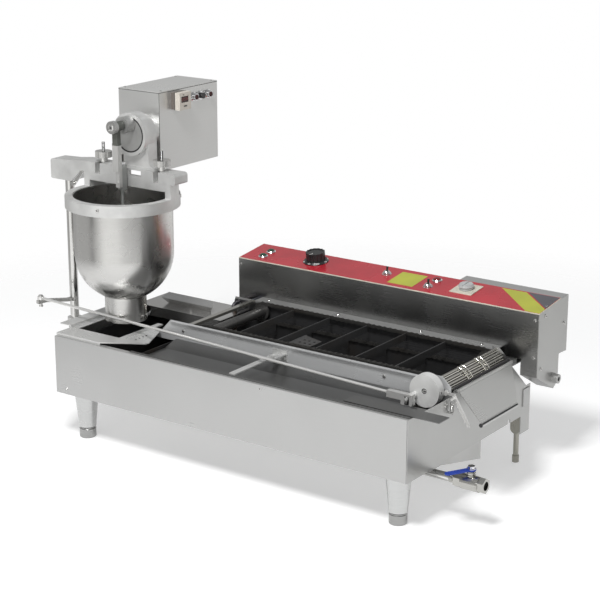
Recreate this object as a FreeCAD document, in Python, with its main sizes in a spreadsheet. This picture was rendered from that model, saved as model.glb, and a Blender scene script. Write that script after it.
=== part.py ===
import FreeCAD, Part
import math
import os
import Sketcher
from FreeCAD import Placement, Rotation, Vector

# Countertop ring-batter fryer with a hopper depositor and a flight conveyor.
# Millimetres, +Z up. Every piece is drawn from the left end, the front face and the
# ground; its Placement then brings the middle of the footprint to the origin.

SIZES = [
    ("origin_x", 406.5, "left end of the casing to the origin"),
    ("origin_y", 258.9, "front face to the origin"),
    ("body_length", 850.0, "casing, left to right"),
    ("body_depth", 371.5, "casing, front to rear wall"),
    ("body_bottom", 101.0, "lower edge of the casing above the ground"),
    ("rim_height", 222.0, "top of the front panel"),
    ("rim_width", 12.0, "flange along the top of the front panel"),
    ("rear_rim", 226.5, "top of the rear wall at the left bay"),
    ("rear_wall_top", 215.0, "top of the rear wall behind the conveyor"),
    ("sheet_thick", 1.5, "casing sheet"),
    ("flange_width", 15.0, "bottom flange"),
    ("tail_depth", 461.0, "rear edge of the end plates"),
    ("tail_front", 425.0, "front edge of the end plates' tails"),
    ("tail_bottom", 63.0, "lower edge of the tails"),
    ("tail_shoulder", 161.0, "height of the tails at the rear"),
    ("slope_start", 367.0, "start of the end plates' slope"),
    ("slope_end", 444.0, "end of the end plates' slope"),
    ("discharge_height", 231.0, "top of the right end wall at the discharge"),
    ("bay_depth", 262.0, "depth of the opening under the hopper deck"),
    ("tank_start", 17.0, "left side of the oil tank"),
    ("tank_end", 848.0, "right side of the oil tank"),
    ("tank_front", 148.0, "front wall of the frying channel"),
    ("tank_rear", 364.5, "rear wall of the frying channel"),
    ("tank_top", 208.5, "top of the tank walls"),
    ("tank_floor", 112.0, "floor of the frying channel"),
    ("sump_depth", 270.0, "rear wall of the sump"),
    ("sump_floor", 62.0, "lowest point of the sump"),
    ("bay_front", 30.0, "front wall of the tank's left bay"),
    ("bay_end", 193.0, "right wall of the tank's left bay"),
    ("deck_height", 228.0, "top of the deck plate"),
    ("window_left", 19.0, "deck window, left edge"),
    ("window_right", 129.0, "deck window, right edge"),
    ("window_front", 52.0, "deck window, front edge"),
    ("strip_rear", 175.0, "rear end of the strip right of the deck window"),
    ("tray_start", 195.0, "left edge of the drip tray"),
    ("runner_start", 700.0, "left end of the tray's flat runner"),
    ("runner_end", 903.0, "right end of the runner, past the end wall"),
    ("plate_front", 155.5, "outer face of the front side plate"),
    ("plate_rear", 368.0, "inner face of the rear side plate"),
    ("plate_bottom", 206.0, "lower edge of the side plates"),
    ("plate_top", 249.0, "upper edge of the side plates"),
    ("plate_end", 845.8, "right end of the side plates"),
    ("rail_rear", 397.8, "rear edge of the rear rail"),
    ("shaft_x", 804.0, "drive shaft"),
    ("shaft_z", 230.5, "height of both conveyor shafts"),
    ("idler_x", 262.0, "idler shaft"),
    ("shaft_radius", 8.0, "conveyor shafts"),
    ("sprocket_radius", 17.0, "sprockets"),
    ("chain_inner", 17.4, "inner radius of the chain at a sprocket"),
    ("chain_outer", 21.4, "outer radius of the chain at a sprocket"),
    ("chain_width", 5.0, "chain"),
    ("chain_front", 163.0, "front face of the front chain"),
    ("chain_rear", 357.0, "front face of the rear chain"),
    ("flight_pitch", 92.0, "flight to flight"),
    ("flight_start", 344.0, "first flight of the upper run"),
    ("disc_radius", 31.6, "clutch disc"),
    ("disc_front", 129.3, "front face of the clutch disc"),
    ("disc_thick", 18.5, "clutch disc"),
    ("disc_pin_x", -20.1, "clutch pin from the shaft, along X"),
    ("disc_pin_z", -10.8, "clutch pin from the shaft, along Z"),
    ("rod_radius", 3.0, "push rod"),
    ("rod_left_z", 262.9, "push rod at its left eye"),
    ("rod_right_y", 107.0, "push rod at the clutch, behind the front face"),
    ("post_x", -100.0, "post, left of the casing"),
    ("post_y", 169.0, "post behind the front face"),
    ("post_radius", 9.5, "post tube"),
    ("post_bore", 6.05, "post tube bore"),
    ("arm_pin_x", -115.9, "lever arm pin"),
    ("arm_pin_y", 83.5, "lever arm pin behind the front face"),
    ("arm_z", 245.0, "middle of the lever arm at the post"),
    ("arm_thick", 7.0, "lever arm"),
    ("hopper_x", 76.0, "hopper axis"),
    ("hopper_y", 136.0, "hopper axis behind the front face"),
    ("hopper_radius", 101.9, "hopper, outer"),
    ("hopper_wall", 1.5, "hopper sheet"),
    ("hopper_bowl", 384.0, "centre of the round bottom"),
    ("hopper_top", 503.0, "open edge of the hopper"),
    ("cylinder_radius", 43.0, "batter cylinder, outer"),
    ("cylinder_bore", 38.0, "batter cylinder, inner"),
    ("cylinder_bottom", 240.0, "lower edge of the batter cylinder"),
    ("cylinder_top", 289.5, "upper edge of the batter cylinder"),
    ("ring_inner", 102.2, "holder ring, inner"),
    ("ring_outer", 117.5, "holder ring, outer"),
    ("ring_bottom", 481.0, "holder ring, underside"),
    ("ring_top", 504.6, "holder ring, top"),
    ("holder_beam_bottom", 518.0, "beam of the hopper holder"),
    ("beam_front", 149.0, "front face of both beams"),
    ("beam_rear", 189.0, "rear face of both beams"),
    ("web", 12.0, "front web of both beams at the window"),
    ("flange_bottom", 534.0, "underside of the head flange"),
    ("flange_top", 556.0, "top of the head flange"),
    ("beam_end", 204.0, "right end of the beams"),
    ("stud_gap", 78.0, "clamp stud from the hopper axis"),
    ("stud_radius", 3.0, "clamp studs"),
    ("nut_radius", 17.5, "knurled nuts"),
    ("crank_z", 622.0, "crank axis"),
    ("crank_throw", 22.0, "crank pin from the crank axis"),
    ("crank_radius", 34.0, "crank disc"),
    ("arch_radius", 40.5, "gear housing"),
    ("arch_rear", 199.0, "rear of the gear housing"),
    ("arch_front", 172.0, "front of the gear housing"),
    ("boss_front", 161.0, "front of the round boss"),
    ("boss_radius", 44.0, "round boss"),
    ("box_front", 219.0, "front of the head box"),
    ("box_rear", 410.0, "rear of the head box"),
    ("box_right", 108.0, "right face of the head box"),
    ("box_bottom", 539.0, "underside of the head box"),
    ("box_top", 701.0, "top of the head box"),
    ("box_sheet", 1.2, "head box sheet"),
    ("control_left", 171.0, "left end of the control box"),
    ("control_right", 896.0, "right end of the control box"),
    ("control_front", 398.0, "front of the control box"),
    ("control_rear", 487.0, "rear of the control box"),
    ("control_bottom", 230.0, "underside of the control box"),
    ("panel_low", 326.0, "panel at its front edge"),
    ("panel_high", 337.0, "panel at its rear edge"),
    ("dial_half", 25.0, "half of the square dial plate"),
    ("corner_width", 92.0, "corner plates that carry the front legs"),
    ("rear_box_left", 665.0, "left end of the rear box"),
    ("rear_box_rear", 519.0, "rear of the rear box"),
    ("rear_box_bottom", 223.0, "underside of the rear box"),
    ("rear_box_top", 339.0, "top of the rear box"),
    ("housing_left", 859.0, "left side of the hanging housing"),
    ("leg_left_x", 42.5, "left front leg"),
    ("leg_right_x", 806.0, "right front leg"),
    ("leg_y", 43.4, "front legs behind the front face"),
    ("leg_radius", 24.5, "front legs at the top"),
    ("leg_neck", 18.5, "front legs at the bottom"),
    ("leg_lower", 24.0, "lower end of the front legs"),
    ("foot_radius", 17.5, "adjustable feet"),
    ("drain_y", 101.0, "drain pipe behind the front face"),
    ("drain_z", 88.0, "drain pipe above the ground"),
    ("drain_radius", 8.25, "drain pipe"),
    ("valve_start", 893.0, "left end of the drain valve"),
]

doc = FreeCAD.newDocument("Fryer")
PARTS = []


class Size:
    """A length or angle that carries its number and the sheet formula behind it."""

    def __init__(self, number, formula=None):
        self.number = float(number)
        self.formula = formula or f"({float(number)})"

    def __add__(self, other):
        return worked(self, "+", other)

    def __radd__(self, other):
        return worked(other, "+", self)

    def __sub__(self, other):
        return worked(self, "-", other)

    def __rsub__(self, other):
        return worked(other, "-", self)

    def __mul__(self, other):
        return worked(self, "*", other)

    def __rmul__(self, other):
        return worked(other, "*", self)

    def __truediv__(self, other):
        return worked(self, "/", other)


def size(value):
    return value if isinstance(value, Size) else Size(value)


def worked(left, sign, right):
    """The sum, difference, product or quotient of two sizes, with its formula."""
    left, right = size(left), size(right)
    if sign == "+":
        number = left.number + right.number
    elif sign == "-":
        number = left.number - right.number
    elif sign == "*":
        number = left.number * right.number
    else:
        number = left.number / right.number
    return Size(number, f"({left.formula} {sign} {right.formula})")


def make_sheet():
    """The table of driving sizes; each alias comes back as a Size."""
    sheet = doc.addObject("Spreadsheet::Sheet", "Sizes")
    sizes = {}
    for row, (alias, value, meaning) in enumerate(SIZES, start=1):
        sheet.set(f"A{row}", meaning)
        sheet.set(f"B{row}", str(value))
        sheet.setAlias(f"B{row}", alias)
        sizes[alias] = Size(value, f"Sizes.{alias}")
    doc.recompute()
    return sizes


class Sheet:
    """Gives each driving size by its name, as in d.body_length."""

    def __init__(self, sizes):
        self.__dict__.update(sizes)


d = Sheet(make_sheet())


def bind(thing, path, value):
    if "Sizes." in size(value).formula:
        thing.setExpression(path, size(value).formula)


def put(thing, x, y, z, turn=None):
    """Places a piece, each coordinate bound to its formula."""
    thing.Placement = Placement(Vector(size(x).number, size(y).number, size(z).number), turn or Rotation())
    bind(thing, "Placement.Base.x", x)
    bind(thing, "Placement.Base.y", y)
    bind(thing, "Placement.Base.z", z)


def box(x, y, z, along_x, along_y, along_z):
    """A block from its lowest corner and its three lengths."""
    block = doc.addObject("Part::Box", "Block")
    for name, value in (("Length", along_x), ("Width", along_y), ("Height", along_z)):
        setattr(block, name, size(value).number)
        bind(block, name, value)
    put(block, x, y, z)
    return block


TURNS = {
    "X": Rotation(Vector(0, 1, 0), 90),
    "Y": Rotation(Vector(1, 0, 0), -90),
    "Z": Rotation(),
}


def bar(axis, x, y, z, radius, length):
    """A round bar that starts at a point and runs along +X, +Y or +Z."""
    cylinder = doc.addObject("Part::Cylinder", "Bar")
    cylinder.Radius = size(radius).number
    cylinder.Height = size(length).number
    bind(cylinder, "Radius", radius)
    bind(cylinder, "Height", length)
    put(cylinder, x, y, z, TURNS[axis])
    return cylinder


def sphere(x, y, z, radius):
    ball = doc.addObject("Part::Sphere", "Ball")
    ball.Radius = size(radius).number
    bind(ball, "Radius", radius)
    put(ball, x, y, z)
    return ball


def cone(axis, x, y, z, start_radius, end_radius, length):
    piece = doc.addObject("Part::Cone", "Taper")
    piece.Radius1 = size(start_radius).number
    piece.Radius2 = size(end_radius).number
    piece.Height = size(length).number
    bind(piece, "Radius1", start_radius)
    bind(piece, "Radius2", end_radius)
    put(piece, x, y, z, TURNS[axis])
    return piece


def hexagon(axis, x, y, z, across_flats, length):
    prism = doc.addObject("Part::Prism", "Hexagon")
    prism.Polygon = 6
    prism.Circumradius = size(across_flats).number / math.sqrt(3)
    prism.Height = size(length).number
    put(prism, x, y, z, TURNS[axis])
    return prism


def join(*pieces):
    fused = doc.addObject("Part::MultiFuse", "Joined")
    fused.Shapes = list(pieces)
    fused.Refine = True
    return fused


def cut(base, *tools):
    result = doc.addObject("Part::Cut", "Cut")
    result.Base = base
    result.Tool = tools[0] if len(tools) == 1 else join(*tools)
    return result


def common(first, second):
    """What two pieces share."""
    piece = doc.addObject("Part::Common", "Common")
    piece.Base, piece.Tool = first, second
    return piece


def group(*pieces):
    """Separate like pieces that share one node."""
    together = doc.addObject("Part::Compound", "Group")
    together.Links = list(pieces)
    return together


def tube(axis, x, y, z, outer, inner, length):
    """A round tube, or a bush or collar."""
    return cut(bar(axis, x, y, z, outer, length), bar(axis, x, y, z, inner, length))


def keep(label, piece, x=None, y=None, z=0, turn=None):
    """Names a finished piece and gives it its place about the origin."""
    piece.Label = label
    place_x = -1 * d.origin_x if x is None else x - d.origin_x
    place_y = -1 * d.origin_y if y is None else y - d.origin_y
    put(piece, place_x, place_y, z, turn)
    PARTS.append(piece)
    return piece


def new_body():
    return doc.addObject("PartDesign::Body", "Body")


def sketch_on(body, plane, level):
    """A sketch on one of the body's own planes, at a level along that plane's axis."""
    sketch = body.newObject("Sketcher::SketchObject", "Sketch")
    roles = {feature.Role: feature for feature in body.Origin.OriginFeatures}
    sketch.AttachmentSupport = [(roles[f"{plane}_Plane"], "")]
    sketch.MapMode = "FlatFace"
    offset = -1 * size(level) if plane == "XZ" else size(level)
    sketch.AttachmentOffset = Placement(Vector(0, 0, offset.number), Rotation())
    bind(sketch, "AttachmentOffset.Base.z", offset)
    return sketch


def hold(sketch, edge, point, across, up):
    """Fixes a point of the sketch by its two sizes from the sketch's origin."""
    for kind, value in (("DistanceX", across), ("DistanceY", up)):
        constraint = Sketcher.Constraint(kind, -1, 1, edge, point, size(value).number)
        index = sketch.addConstraint(constraint)
        bind(sketch, f"Constraints[{index}]", value)


def outline(sketch, points):
    """A closed outline of straight lines; every corner is held."""
    corners = [Vector(size(u).number, size(v).number, 0) for u, v in points]
    first = sketch.GeometryCount
    count = len(points)
    for index in range(count):
        line = Part.LineSegment(corners[index], corners[(index + 1) % count])
        sketch.addGeometry(line, False)
    for index in range(count):
        following = first + (index + 1) % count
        sketch.addConstraint(Sketcher.Constraint("Coincident", first + index, 2, following, 1))
    for index, (across, up) in enumerate(points):
        hold(sketch, first + index, 1, across, up)


def circle(sketch, across, up, radius):
    centre = Vector(size(across).number, size(up).number, 0)
    edge = sketch.addGeometry(Part.Circle(centre, Vector(0, 0, 1), size(radius).number), False)
    index = sketch.addConstraint(Sketcher.Constraint("Radius", edge, size(radius).number))
    bind(sketch, f"Constraints[{index}]", radius)
    hold(sketch, edge, 3, across, up)


def rectangle(left, low, right, high):
    return [(left, low), (right, low), (right, high), (left, high)]


def pad(body, plane, level, length, points=None, holes=()):
    """Adds a plate of the given outline, from its level towards the plane's + axis."""
    sketch = sketch_on(body, plane, level)
    if points:
        outline(sketch, points)
    for hole in holes:
        circle(sketch, *hole)
    feature = body.newObject("PartDesign::Pad", "Pad")
    feature.Profile = sketch
    feature.Length = size(length).number
    bind(feature, "Length", length)
    feature.Reversed = plane == "XZ"
    return body


def pocket(body, plane, level, length, points=None, holes=()):
    """Cuts from its level towards the plane's + axis, and makes sure that it cuts."""
    doc.recompute()
    before = body.Shape.Volume
    sketch = sketch_on(body, plane, level)
    if points:
        outline(sketch, points)
    for hole in holes:
        circle(sketch, *hole)
    feature = body.newObject("PartDesign::Pocket", "Pocket")
    feature.Profile = sketch
    feature.Length = size(length).number
    bind(feature, "Length", length)
    feature.Reversed = plane != "XZ"
    doc.recompute()
    if body.Shape.Volume >= before - 1e-6:
        raise RuntimeError(f"a pocket on {plane} cuts nothing")
    return body


def soften(body, radius, places):
    """Rounds the edges along Y that stand at places of (x, z)."""
    doc.recompute()
    names = []
    for index, edge in enumerate(body.Tip.Shape.Edges, 1):
        ends = [vertex.Point for vertex in edge.Vertexes]
        for x, z in places:
            if len(ends) == 2 and all(math.hypot(end.x - x, end.z - z) < 0.01 for end in ends):
                names.append(f"Edge{index}")
    if len(names) != len(places):
        raise RuntimeError(f"{len(names)} edges found for {len(places)} roundings")
    base = body.Tip
    feature = body.newObject("PartDesign::Fillet", "Rounding")
    feature.Base = (base, names)
    feature.Radius = radius
    return body


def plate(plane, level, thickness, points=None, holes=()):
    return pad(new_body(), plane, level, thickness, points, holes)


def turned(points, x, y):
    """A turned piece: its outline of (radius, height) points goes round a vertical axis."""
    body = new_body()
    sketch = sketch_on(body, "XZ", y)
    sketch.AttachmentOffset = Placement(Vector(size(x).number, 0, -size(y).number), Rotation())
    bind(sketch, "AttachmentOffset.Base.x", x)
    outline(sketch, points)
    feature = body.newObject("PartDesign::Revolution", "Turning")
    feature.Profile = sketch
    feature.ReferenceAxis = (sketch, ["V_Axis"])
    feature.Angle = 360
    return body


def shaped(shape):
    """A piece whose shape is worked out as a pipe along a path."""
    piece = doc.addObject("Part::Feature", "Pipe")
    piece.Shape = shape
    return piece


def pipe_through(corners, bend, radius):
    """A round pipe through corner points, each corner rounded by a tangent arc."""
    edges = []
    start = corners[0]
    for before, corner, after in zip(corners, corners[1:], corners[2:]):
        towards = (before - corner).normalize()
        onwards = (after - corner).normalize()
        half = math.acos(max(-1.0, min(1.0, towards.dot(onwards)))) / 2
        back = bend / math.tan(half)
        entry = corner + towards * back
        leave = corner + onwards * back
        middle_way = (towards + onwards).normalize()
        middle = corner + middle_way * (bend / math.sin(half) - bend)
        edges.append(Part.LineSegment(start, entry).toShape())
        edges.append(Part.Arc(entry, middle, leave).toShape())
        start = leave
    edges.append(Part.LineSegment(start, corners[-1]).toShape())
    path = Part.Wire(edges)
    ring = Part.Wire(Part.Circle(corners[0], corners[1] - corners[0], radius).toShape())
    return path.makePipeShell([ring], True, False)


# Casing

def end_profile(front, rim, rear_rim):
    """Side view of an end plate with its tail behind the rear wall."""
    return [
        (front, d.body_bottom), (front, rim), (d.bay_depth, rim), (d.bay_depth, rear_rim),
        (d.slope_start, rear_rim), (d.slope_end, d.tail_shoulder), (d.tail_depth, d.tail_shoulder),
        (d.tail_depth, d.tail_bottom), (d.tail_front, d.tail_bottom), (d.tail_front, d.body_bottom),
    ]


def make_outer_body():
    """Front panel, left end plate and rear wall, folded from one sheet."""
    thick = d.sheet_thick
    inner_end = d.body_length - thick
    body = plate("XZ", 0, thick, rectangle(0, d.body_bottom, d.body_length, d.rim_height))
    pad(body, "YZ", 0, thick, end_profile(0, d.rim_height, d.rear_rim))
    rear = [
        (0, d.body_bottom), (inner_end, d.body_bottom), (inner_end, d.rear_wall_top),
        (230, d.rear_wall_top), (230, d.rear_rim), (0, d.rear_rim),
    ]
    pad(body, "XZ", d.body_depth - thick, thick, rear)
    pad(body, "XY", d.rim_height - thick, thick, rectangle(0, 0, inner_end, d.rim_width))
    pad(body, "XY", d.body_bottom, thick, rectangle(0, 0, inner_end, d.flange_width))
    for left in (Size(0), inner_end - d.corner_width):
        corner = rectangle(left, 0, left + d.corner_width, 74)
        pad(body, "XY", d.body_bottom, thick, corner)
    rear_flange = d.body_depth - d.flange_width
    pad(body, "XY", d.body_bottom, thick, rectangle(0, rear_flange, inner_end, d.body_depth))
    return keep("outer_body", body)


def make_right_end_wall():
    """Right end plate, low at the tray and higher at the discharge, with the chute's hinge pin."""
    notch_front = 373.0
    notch_rear = 381.0
    notch_height = 109.0
    profile = [
        (d.sheet_thick, d.body_bottom), (d.sheet_thick, d.rim_height), (160, d.rim_height),
        (160, d.discharge_height), (d.slope_start, d.discharge_height),
        (d.slope_end, d.tail_shoulder), (d.tail_depth, d.tail_shoulder),
        (d.tail_depth, d.tail_bottom), (d.tail_front, d.tail_bottom), (d.tail_front, d.body_bottom),
        (notch_rear, d.body_bottom), (notch_rear, notch_height), (notch_front, notch_height),
        (notch_front, d.body_bottom),
    ]
    wall = plate("YZ", d.body_length - d.sheet_thick, d.sheet_thick, profile)
    spring_pin = bar("X", d.body_length - 0.5, 143, 194.5, 2, 9.5)
    hinge_pin = bar("Y", 855, 161, d.discharge_height, 1.8, 210)
    lugs = [box(d.body_length - 0.5, y, 227.5, 7, 3.4, 7) for y in (162, 367.4)]
    return keep("right_end_wall", join(wall, spring_pin, hinge_pin, *lugs))


def make_oil_tank():
    """Frying channel with a sloping sump and an open left bay under the hopper."""
    thick = d.sheet_thick
    outer = [
        (d.tank_front, d.tank_top), (d.tank_front, 114), (84, 108), (84, 97), (120, 97),
        (d.sump_depth, d.sump_floor), (d.sump_depth, 104), (d.tank_rear, d.tank_floor),
        (d.tank_rear, d.tank_top),
    ]
    inner = [
        (d.tank_front + thick, d.tank_top + 9), (d.tank_front + thick, 112.6), (85.5, 106.6),
        (85.5, 98.5), (120.2, 98.5), (d.sump_depth - thick, d.sump_floor + 1.9),
        (d.sump_depth - thick, 105.4), (d.tank_rear - thick, d.tank_floor + thick),
        (d.tank_rear - thick, d.tank_top + 9),
    ]
    body = plate("YZ", d.tank_start, d.tank_end - d.tank_start, outer)
    bay = rectangle(d.tank_start, d.bay_front, d.bay_end, d.tank_front + thick)
    pad(body, "XY", 104, d.tank_top - 104, bay)
    pocket(body, "YZ", d.tank_start + thick, d.tank_end - d.tank_start - 2 * thick, inner)
    bay_room = rectangle(
        d.tank_start + thick, d.bay_front + thick, d.bay_end - thick, d.tank_front + 3 * thick)
    pocket(body, "XY", 104 + thick, 120, bay_room)
    drain_hole = [(780, d.drain_y, 6)]
    pocket(body, "XY", 90, 12, None, drain_hole)
    return keep("oil_tank", body)


def make_deck_plate():
    """Deck round the open left bay, with a pointed front lip."""
    top = d.deck_height - d.sheet_thick
    tip = (200, 54)
    edge = [
        (0, 6), (118, 6), tip, (142, 57), (142, d.strip_rear), (d.window_right, d.strip_rear),
        (d.window_right, d.window_front), (d.window_left, d.window_front),
        (d.window_left, d.bay_depth), (0, d.bay_depth),
    ]
    body = plate("XY", top, d.sheet_thick, edge)
    pad(body, "XZ", 6, d.sheet_thick, rectangle(0, d.rim_height, 118, d.deck_height))
    pad(body, "YZ", 0, d.sheet_thick, rectangle(6, d.rim_height, d.bay_depth, d.deck_height))
    add_guide_strip(body)
    return keep("deck_plate", body)


def add_guide_strip(body):
    """Sloping strip on the right of the deck window, with a row of drain holes."""
    top = d.deck_height - d.sheet_thick
    flat = [(131, top), (142, top), (142, 225), (131, 225)]
    slope = [(141, top), (142, top), (178, 216), (178, 214.5), (142, 225), (141, 225)]
    pad(body, "XZ", 57, d.strip_rear - 57, flat)
    pad(body, "XZ", 57, 93, slope)
    pocket(body, "XY", 205, 20, [(160, 56), (179, 56), (179, 90)])
    pocket(body, "XY", 205, 20, [(179, 83), (179, 151), (155, 151)])
    holes = [(154, 64 + 11 * index, 2.2) for index in range(5)]
    pocket(body, "XY", 205, 30, None, holes)


def make_rear_cover():
    """Cover behind the deck with its bent handle, a locating pin and a front apron."""
    top = d.deck_height - d.sheet_thick
    right = 225
    front = d.bay_depth + 0.5
    rear = d.plate_rear - 0.5
    body = plate("XY", top, d.sheet_thick, rectangle(0, front, right, rear))
    bent = [(302, top), (292, 241), (305.3, 251.5), (306.2, 250.3), (293.9, 241), (304.3, top)]
    handle_left, handle_right = 41, 179
    pad(body, "YZ", handle_left, handle_right - handle_left, bent)
    for edge, inwards in ((handle_left, 1), (handle_right, -1)):
        low_cut = [(edge - inwards, d.deck_height), (edge + 12 * inwards, d.deck_height),
                   (edge - inwards, 241.9)]
        high_cut = [(edge - inwards, 240.9), (edge + 10 * inwards, 252), (edge - inwards, 252)]
        pocket(body, "XZ", 290, 18, low_cut)
        pocket(body, "XZ", 290, 18, high_cut)
    pad(body, "XZ", front, d.sheet_thick, rectangle(33, 206, right, d.deck_height))
    pad(body, "XY", d.deck_height, 7, None, [(135, 276, 2.5)])
    pocket(body, "XY", top - 1, 5, None, [(195, 345, 5), (215, 325, 5)])
    return keep("rear_cover", body)


def make_drip_tray():
    """Hollow tray in front of the conveyor, with a flat runner over the right end wall."""
    low = d.rim_height
    thick = d.sheet_thick
    profile = [
        (8, low + thick), (14, low + thick), (16, 205), (60, 202), (114, 202.5), (153.5, 212),
        (153.5, 210.5), (114, 201), (60, 200.5), (14.6, 203.6), (12.6, low), (8, low),
    ]
    inner_end = d.body_length - 2 * thick
    body = plate("YZ", d.tray_start, inner_end - d.tray_start, profile)
    disc_room = rectangle(764, 114, 842, 156)
    pocket(body, "XY", 190, 40, disc_room)
    pad(body, "YZ", d.runner_start, thick, rectangle(18, 202, 54, low + thick))
    pad(body, "XY", low, thick, rectangle(d.runner_start, 18, d.runner_end, 54))
    return keep("drip_tray", body)


def make_rod_guide():
    """Strap from the front rim to the side plate, with the bracket that guides the push rod."""
    low = d.rim_height + d.sheet_thick
    wall = d.plate_front - 2
    strap = box(440, 14, low, 14, wall - 14, 2.5)
    back = box(440, wall, 216.5, 36, 2, 22)
    shelf = box(462, 124, 230, 12, wall - 124, 2.5)
    stop = box(462, 113, 230, 12, 12, 2.5)
    cheek = box(462, 111.5, 226, 12, 2, 14)
    screw = hexagon("Y", 468, wall - 3, 221, 7, 3)
    return keep("rod_guide", join(strap, back, shelf, stop, cheek, screw))


def make_front_legs():
    """Two tapered legs, each with a threaded hole for its foot."""
    profile = [
        (8.2, d.leg_lower), (d.leg_neck, d.leg_lower), (d.leg_neck, d.leg_lower + 6),
        (d.leg_radius - 1.5, 78), (d.leg_radius, 92), (d.leg_radius, d.body_bottom),
        (8.2, d.body_bottom),
    ]
    legs = [turned(profile, x, d.leg_y) for x in (d.leg_left_x, d.leg_right_x)]
    return keep("front_legs", group(*legs))


def make_front_foot(side, x):
    """Adjustable foot: a round pad on a threaded stem."""
    profile = [
        (0, 0), (d.foot_radius - 1.5, 0), (d.foot_radius, 1.5), (d.foot_radius, 19),
        (d.foot_radius - 1, 20.5), (d.foot_radius - 1, 22), (8.1, 22), (8.1, 68), (0, 68),
    ]
    return keep(f"{side}_front_foot", turned(profile, x, d.leg_y))


def rear_leg(tongue_left, flange_left):
    """A round rod on a rounded tongue, with a flange against the end plate."""
    front = d.tail_front + 1.5
    rod_x = tongue_left + 11
    rod_y = front + 7
    tongue = box(tongue_left, front, 72, 22, 1.5, 40)
    toe = bar("Y", rod_x, front, 72, 11, 1.5)
    rod = bar("Z", rod_x, rod_y, 6, 5.5, 94)
    flange = box(flange_left, front, 70, 1.5, 30, 40)
    tip = cut(bar("Z", rod_x, rod_y, 0, 7, 14), bar("Z", rod_x, rod_y, 6, 5.5, 10))
    return [join(tongue, toe, rod, flange), tip]


def make_rear_legs():
    """Both rear legs with their rubber tips."""
    left = rear_leg(Size(1.5), Size(1.5))
    right = rear_leg(d.body_length - 23.5, d.body_length - 3)
    return keep("rear_legs", group(*left, *right))


# Oil drain

def make_drain_pipe():
    """Pipe from the tank floor, with a short riser, to the valve."""
    run = bar("X", 771.75, d.drain_y, d.drain_z, d.drain_radius, d.valve_start - 771.75 + 8)
    riser = bar("Z", 780, d.drain_y, d.drain_z, d.drain_radius, 97 - d.drain_z)
    bore = bar("X", 776, d.drain_y, d.drain_z, 6, d.valve_start - 776 + 9)
    riser_bore = bar("Z", 780, d.drain_y, d.drain_z - 1, 6, 12)
    return keep("drain_pipe", cut(join(run, riser), bore, riser_bore))


def make_valve_body():
    """Ball valve: two hexagon ends, a round middle and a stem neck."""
    x, y, z = d.valve_start, d.drain_y, d.drain_z
    left = hexagon("X", x, y, z, 26, 14)
    middle = bar("X", x + 14, y, z, 14.5, 36)
    right = hexagon("X", x + 46, y, z, 26, 16)
    neck = bar("Z", x + 31, y, z + 8, 7, 14)
    socket = bar("X", x - 1, y, z, d.drain_radius + 0.05, 9.2)
    outlet = bar("X", x + 48, y, z, 8.5, 20)
    room = bar("X", x + 18, y, z, 10.8, 28)
    waterway = bar("X", x + 4, y, z, 6, 50)
    stem_hole = bar("Z", x + 31, y, z, 4.05, 30)
    body = cut(join(left, middle, right, neck), socket, outlet, room, waterway, stem_hole)
    return keep("valve_body", body)


def make_valve_lever():
    """Bored ball with its stem, and the flat lever that a nut holds on the stem."""
    ball = sphere(0, 0, 0, 10.4)
    stem = bar("Z", 0, 0, 9, 4, 24)
    bore = bar("X", -16, 0, 0, 6, 32)
    turning_core = join(cut(ball, bore), stem)
    top = 24.5
    hub = bar("Z", 0, 0, top, 9, 3)
    arm = box(-48, -6.5, top, 48, 13, 2.5)
    end = bar("Z", -48, 0, top, 6.5, 2.5)
    nut = hexagon("Z", 0, 0, top + 3, 12, 4.5)
    hole = bar("Z", 0, 0, top - 1, 4, 12)
    lever = group(turning_core, cut(join(hub, arm, end, nut), hole))
    nearly_closed = Rotation(Vector(0, 0, 1), 60)
    return keep("valve_lever", lever, d.valve_start + 31, d.drain_y, d.drain_z, nearly_closed)


# Conveyor

def side_profile(left_low, left_high):
    """Side plate: slanted left end, raised and sloping right end."""
    return [
        (left_low, d.plate_bottom), (left_high, d.plate_top), (812, d.plate_top), (812, 256),
        (826, 256), (d.plate_end, 238), (d.plate_end, d.plate_bottom),
    ]


def shaft_hole(x):
    return (x, d.shaft_z, d.shaft_radius + 0.4)


def make_side_plate_front():
    profile = side_profile(139, 179)
    body = plate("XZ", d.plate_front, d.sheet_thick, profile, [shaft_hole(d.shaft_x)])
    lip = rectangle(182, d.plate_front - 6, 810, d.plate_front + d.sheet_thick)
    pad(body, "XY", d.plate_top - d.sheet_thick, d.sheet_thick, lip)
    return keep("side_plate_front", body)


def make_side_plate_rear():
    """Rear side plate with the rail that is screwed to the control box."""
    heater_holes = [(195, 240, 4.4), (215, 240, 4.4)]
    holes = [shaft_hole(d.shaft_x), shaft_hole(d.idler_x)] + heater_holes
    body = plate("XZ", d.plate_rear, d.sheet_thick, side_profile(171, 184), holes)
    rail = rectangle(235, d.plate_rear, 818, d.rail_rear)
    pad(body, "XY", d.plate_top - d.sheet_thick, d.sheet_thick, rail)
    return keep("side_plate_rear", body)


def shaft_with_sprockets(x, start, end):
    """A shaft with two sprockets and the sleeve between them."""
    shaft = bar("Y", x, start, d.shaft_z, d.shaft_radius, end - start)
    faces = (d.chain_front, d.chain_rear)
    wheels = [bar("Y", x, face, d.shaft_z, d.sprocket_radius, d.chain_width) for face in faces]
    sleeve_start = d.chain_front + d.chain_width
    sleeve = bar("Y", x, sleeve_start, d.shaft_z, 11, d.chain_rear - sleeve_start)
    return join(shaft, sleeve, *wheels)


def make_shafts():
    keep("drive_shaft", shaft_with_sprockets(d.shaft_x, d.disc_front + 3.05, Size(382)))
    idler_start = d.plate_front + d.sheet_thick + 0.5
    keep("idler_shaft", shaft_with_sprockets(d.idler_x, idler_start, Size(377)))


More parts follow.
